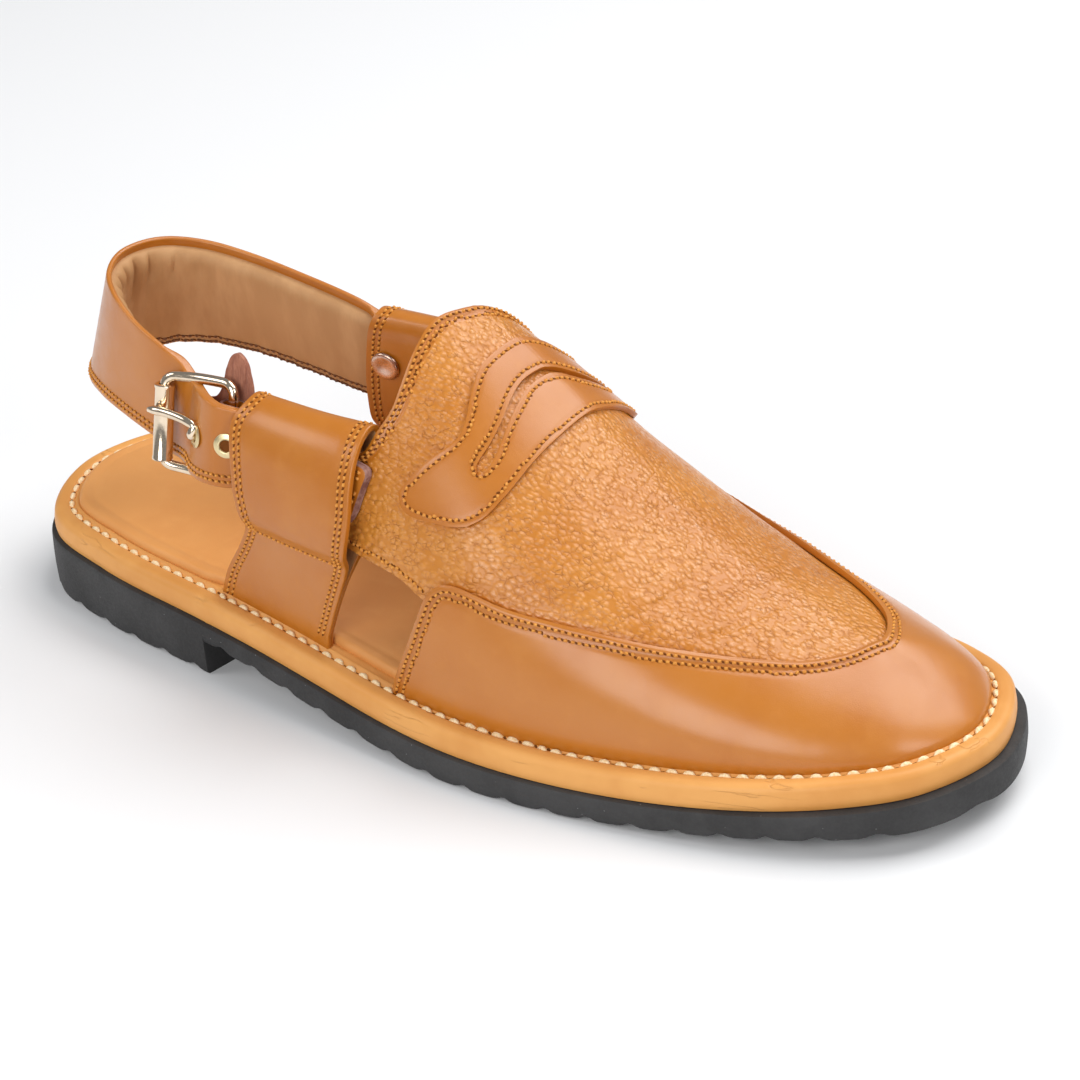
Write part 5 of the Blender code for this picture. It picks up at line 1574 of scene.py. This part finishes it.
def makeInsole():
    # the footbed: a rounded edge, a shallow dip along it, and a slightly crowned, uneven seat

    def waves(plan):
        return wander(np.column_stack([plan, plan[:, 0] * 0]), 17, 3.3)

    base, inward, middle = soleBase()
    start = insoleInset(base[:, 0])[:, None]
    r, top = tread["insoleRound"], tread["insoleHeight"]
    layers = [(middle, midsoleTop(middle[:, 0]) - 0.05)]
    layers += [layer(base, inward, start + inset, midsoleTop, -0.05) for inset in (6.0, 0.1)]
    for angle in np.linspace(0, math.pi / 2, 9):
        inset = start + r - r * math.cos(angle)
        layers.append(layer(base, inward, inset, midsoleTop, top - r + r * math.sin(angle)))
    for inset in (0.7, 1.4, 2.1, 2.8, 3.5, 4.3, 5.2):
        dip = -tread["seatDip"] * math.exp(-((inset - tread["seatDipAt"]) / 1.1) ** 2)
        plan, z = layer(base, inward, start + r + inset, midsoleTop, top + dip)
        layers.append((plan, z + tread["edgeWaves"] * waves(plan)))
    inner = base + inward * (start + r + 5.2)
    for share in np.linspace(0, 1, 28)[1:]:
        plan = inner + (middle - inner) * share
        crown = tread["crown"] * math.sin(math.pi / 2 * share) * (1 - 0.6 * share)
        layers.append((plan, midsoleTop(plan[:, 0]) + top + crown + tread["seatWaves"] * waves(plan)))
    return plateObject("footbed", layers)


settle(makeOutsole(), ("rubber",), ["outsole"])
midsole, weltWrinkleShade = makeMidsole()
settle(midsole, ("weltLeather",), ["midsole"])
settle(makeInsole(), ("footbedLeather",), ["insole"])
sewSeams("weltStitches", [weltWrinkleShade], midsole, "creamThread", "welt")
bpy.data.objects.remove(last)
print("sole ready")


# Floor, light and camera, sizes in metres
studio = {
    "floor": (0.84, 0.84, 0.843), "floorSize": 12.0, "world": (0.92, 0.95, 1.0), "worldStrength": 0.25,
    "lights": (("overhead", (0.31, 0.58, 1.15), 1.3, 17.5), ("front", (0.18, -1.30, 0.72), 0.95, 10.0),
               ("left", (-0.95, -0.70, 0.95), 0.65, 3.5), ("right", (1.25, -0.20, 0.85), 0.6, 4.0)),
}


def makeStudio():
    clearSelection()
    bpy.ops.mesh.primitive_plane_add(size=studio["floorSize"])
    floor = named(bpy.context.object, "floor")
    paint = Paint("floorPaper", Specular_IOR_Level=0.15)
    paint.feed("Roughness", paint.level(paint.noise(2.0), 0.3, 0.7, 0.78, 0.86))
    tone = paint.mix(paint.level(paint.noise(3.0), 0.3, 0.7, 0.0, 0.04), studio["floor"], (0.80, 0.80, 0.81))
    paint.feed("Base Color", tone)
    floor.data.materials.append(paint.material)
    world = bpy.data.worlds.new("studio")
    world.use_nodes = True
    world.node_tree.nodes["Background"].inputs["Color"].default_value = (*studio["world"], 1.0)
    world.node_tree.nodes["Background"].inputs["Strength"].default_value = studio["worldStrength"]
    bpy.context.scene.world = world
    for name, at, size, power in studio["lights"]:
        clearSelection()
        bpy.ops.object.light_add(type="AREA", location=at)
        light = bpy.context.object
        light.name = name
        light.data.shape = "DISK"
        light.data.size = size
        light.data.energy = power
        light.rotation_euler = (Vector((0, 0, 0.04)) - Vector(at)).to_track_quat("-Z", "Y").to_euler()


camera = {
    "at": (0.4605, -0.59235, 0.4667), "azimuth": 33.82, "elevation": 27.9, "roll": -2.83,
    "turnRight": -0.0440, "turnUp": -0.0350, "lens": 110.0,
}


def makeCamera():
    a, e, r = (math.radians(camera[k]) for k in ("azimuth", "elevation", "roll"))
    back = Vector((math.sin(a) * math.cos(e), -math.cos(a) * math.cos(e), math.sin(e)))
    right = Vector((math.cos(a), math.sin(a), 0))
    up = back.cross(right)
    right, up = right * math.cos(r) + up * math.sin(r), up * math.cos(r) - right * math.sin(r)
    aim = (-back + right * camera["turnRight"] + up * camera["turnUp"]).normalized()
    turn = (-back).rotation_difference(aim)
    right, up, back = turn @ right, turn @ up, turn @ back
    clearSelection()
    bpy.ops.object.camera_add(location=camera["at"])
    made = bpy.context.object
    made.rotation_euler = Matrix((right, up, back)).transposed().to_euler()
    made.data.lens = camera["lens"]
    made.data.sensor_width = 36
    made.data.clip_start = 0.05
    bpy.context.scene.camera = made


makeStudio()
makeCamera()
bpy.context.scene.view_settings.view_transform = "Standard"
print("scene ready")
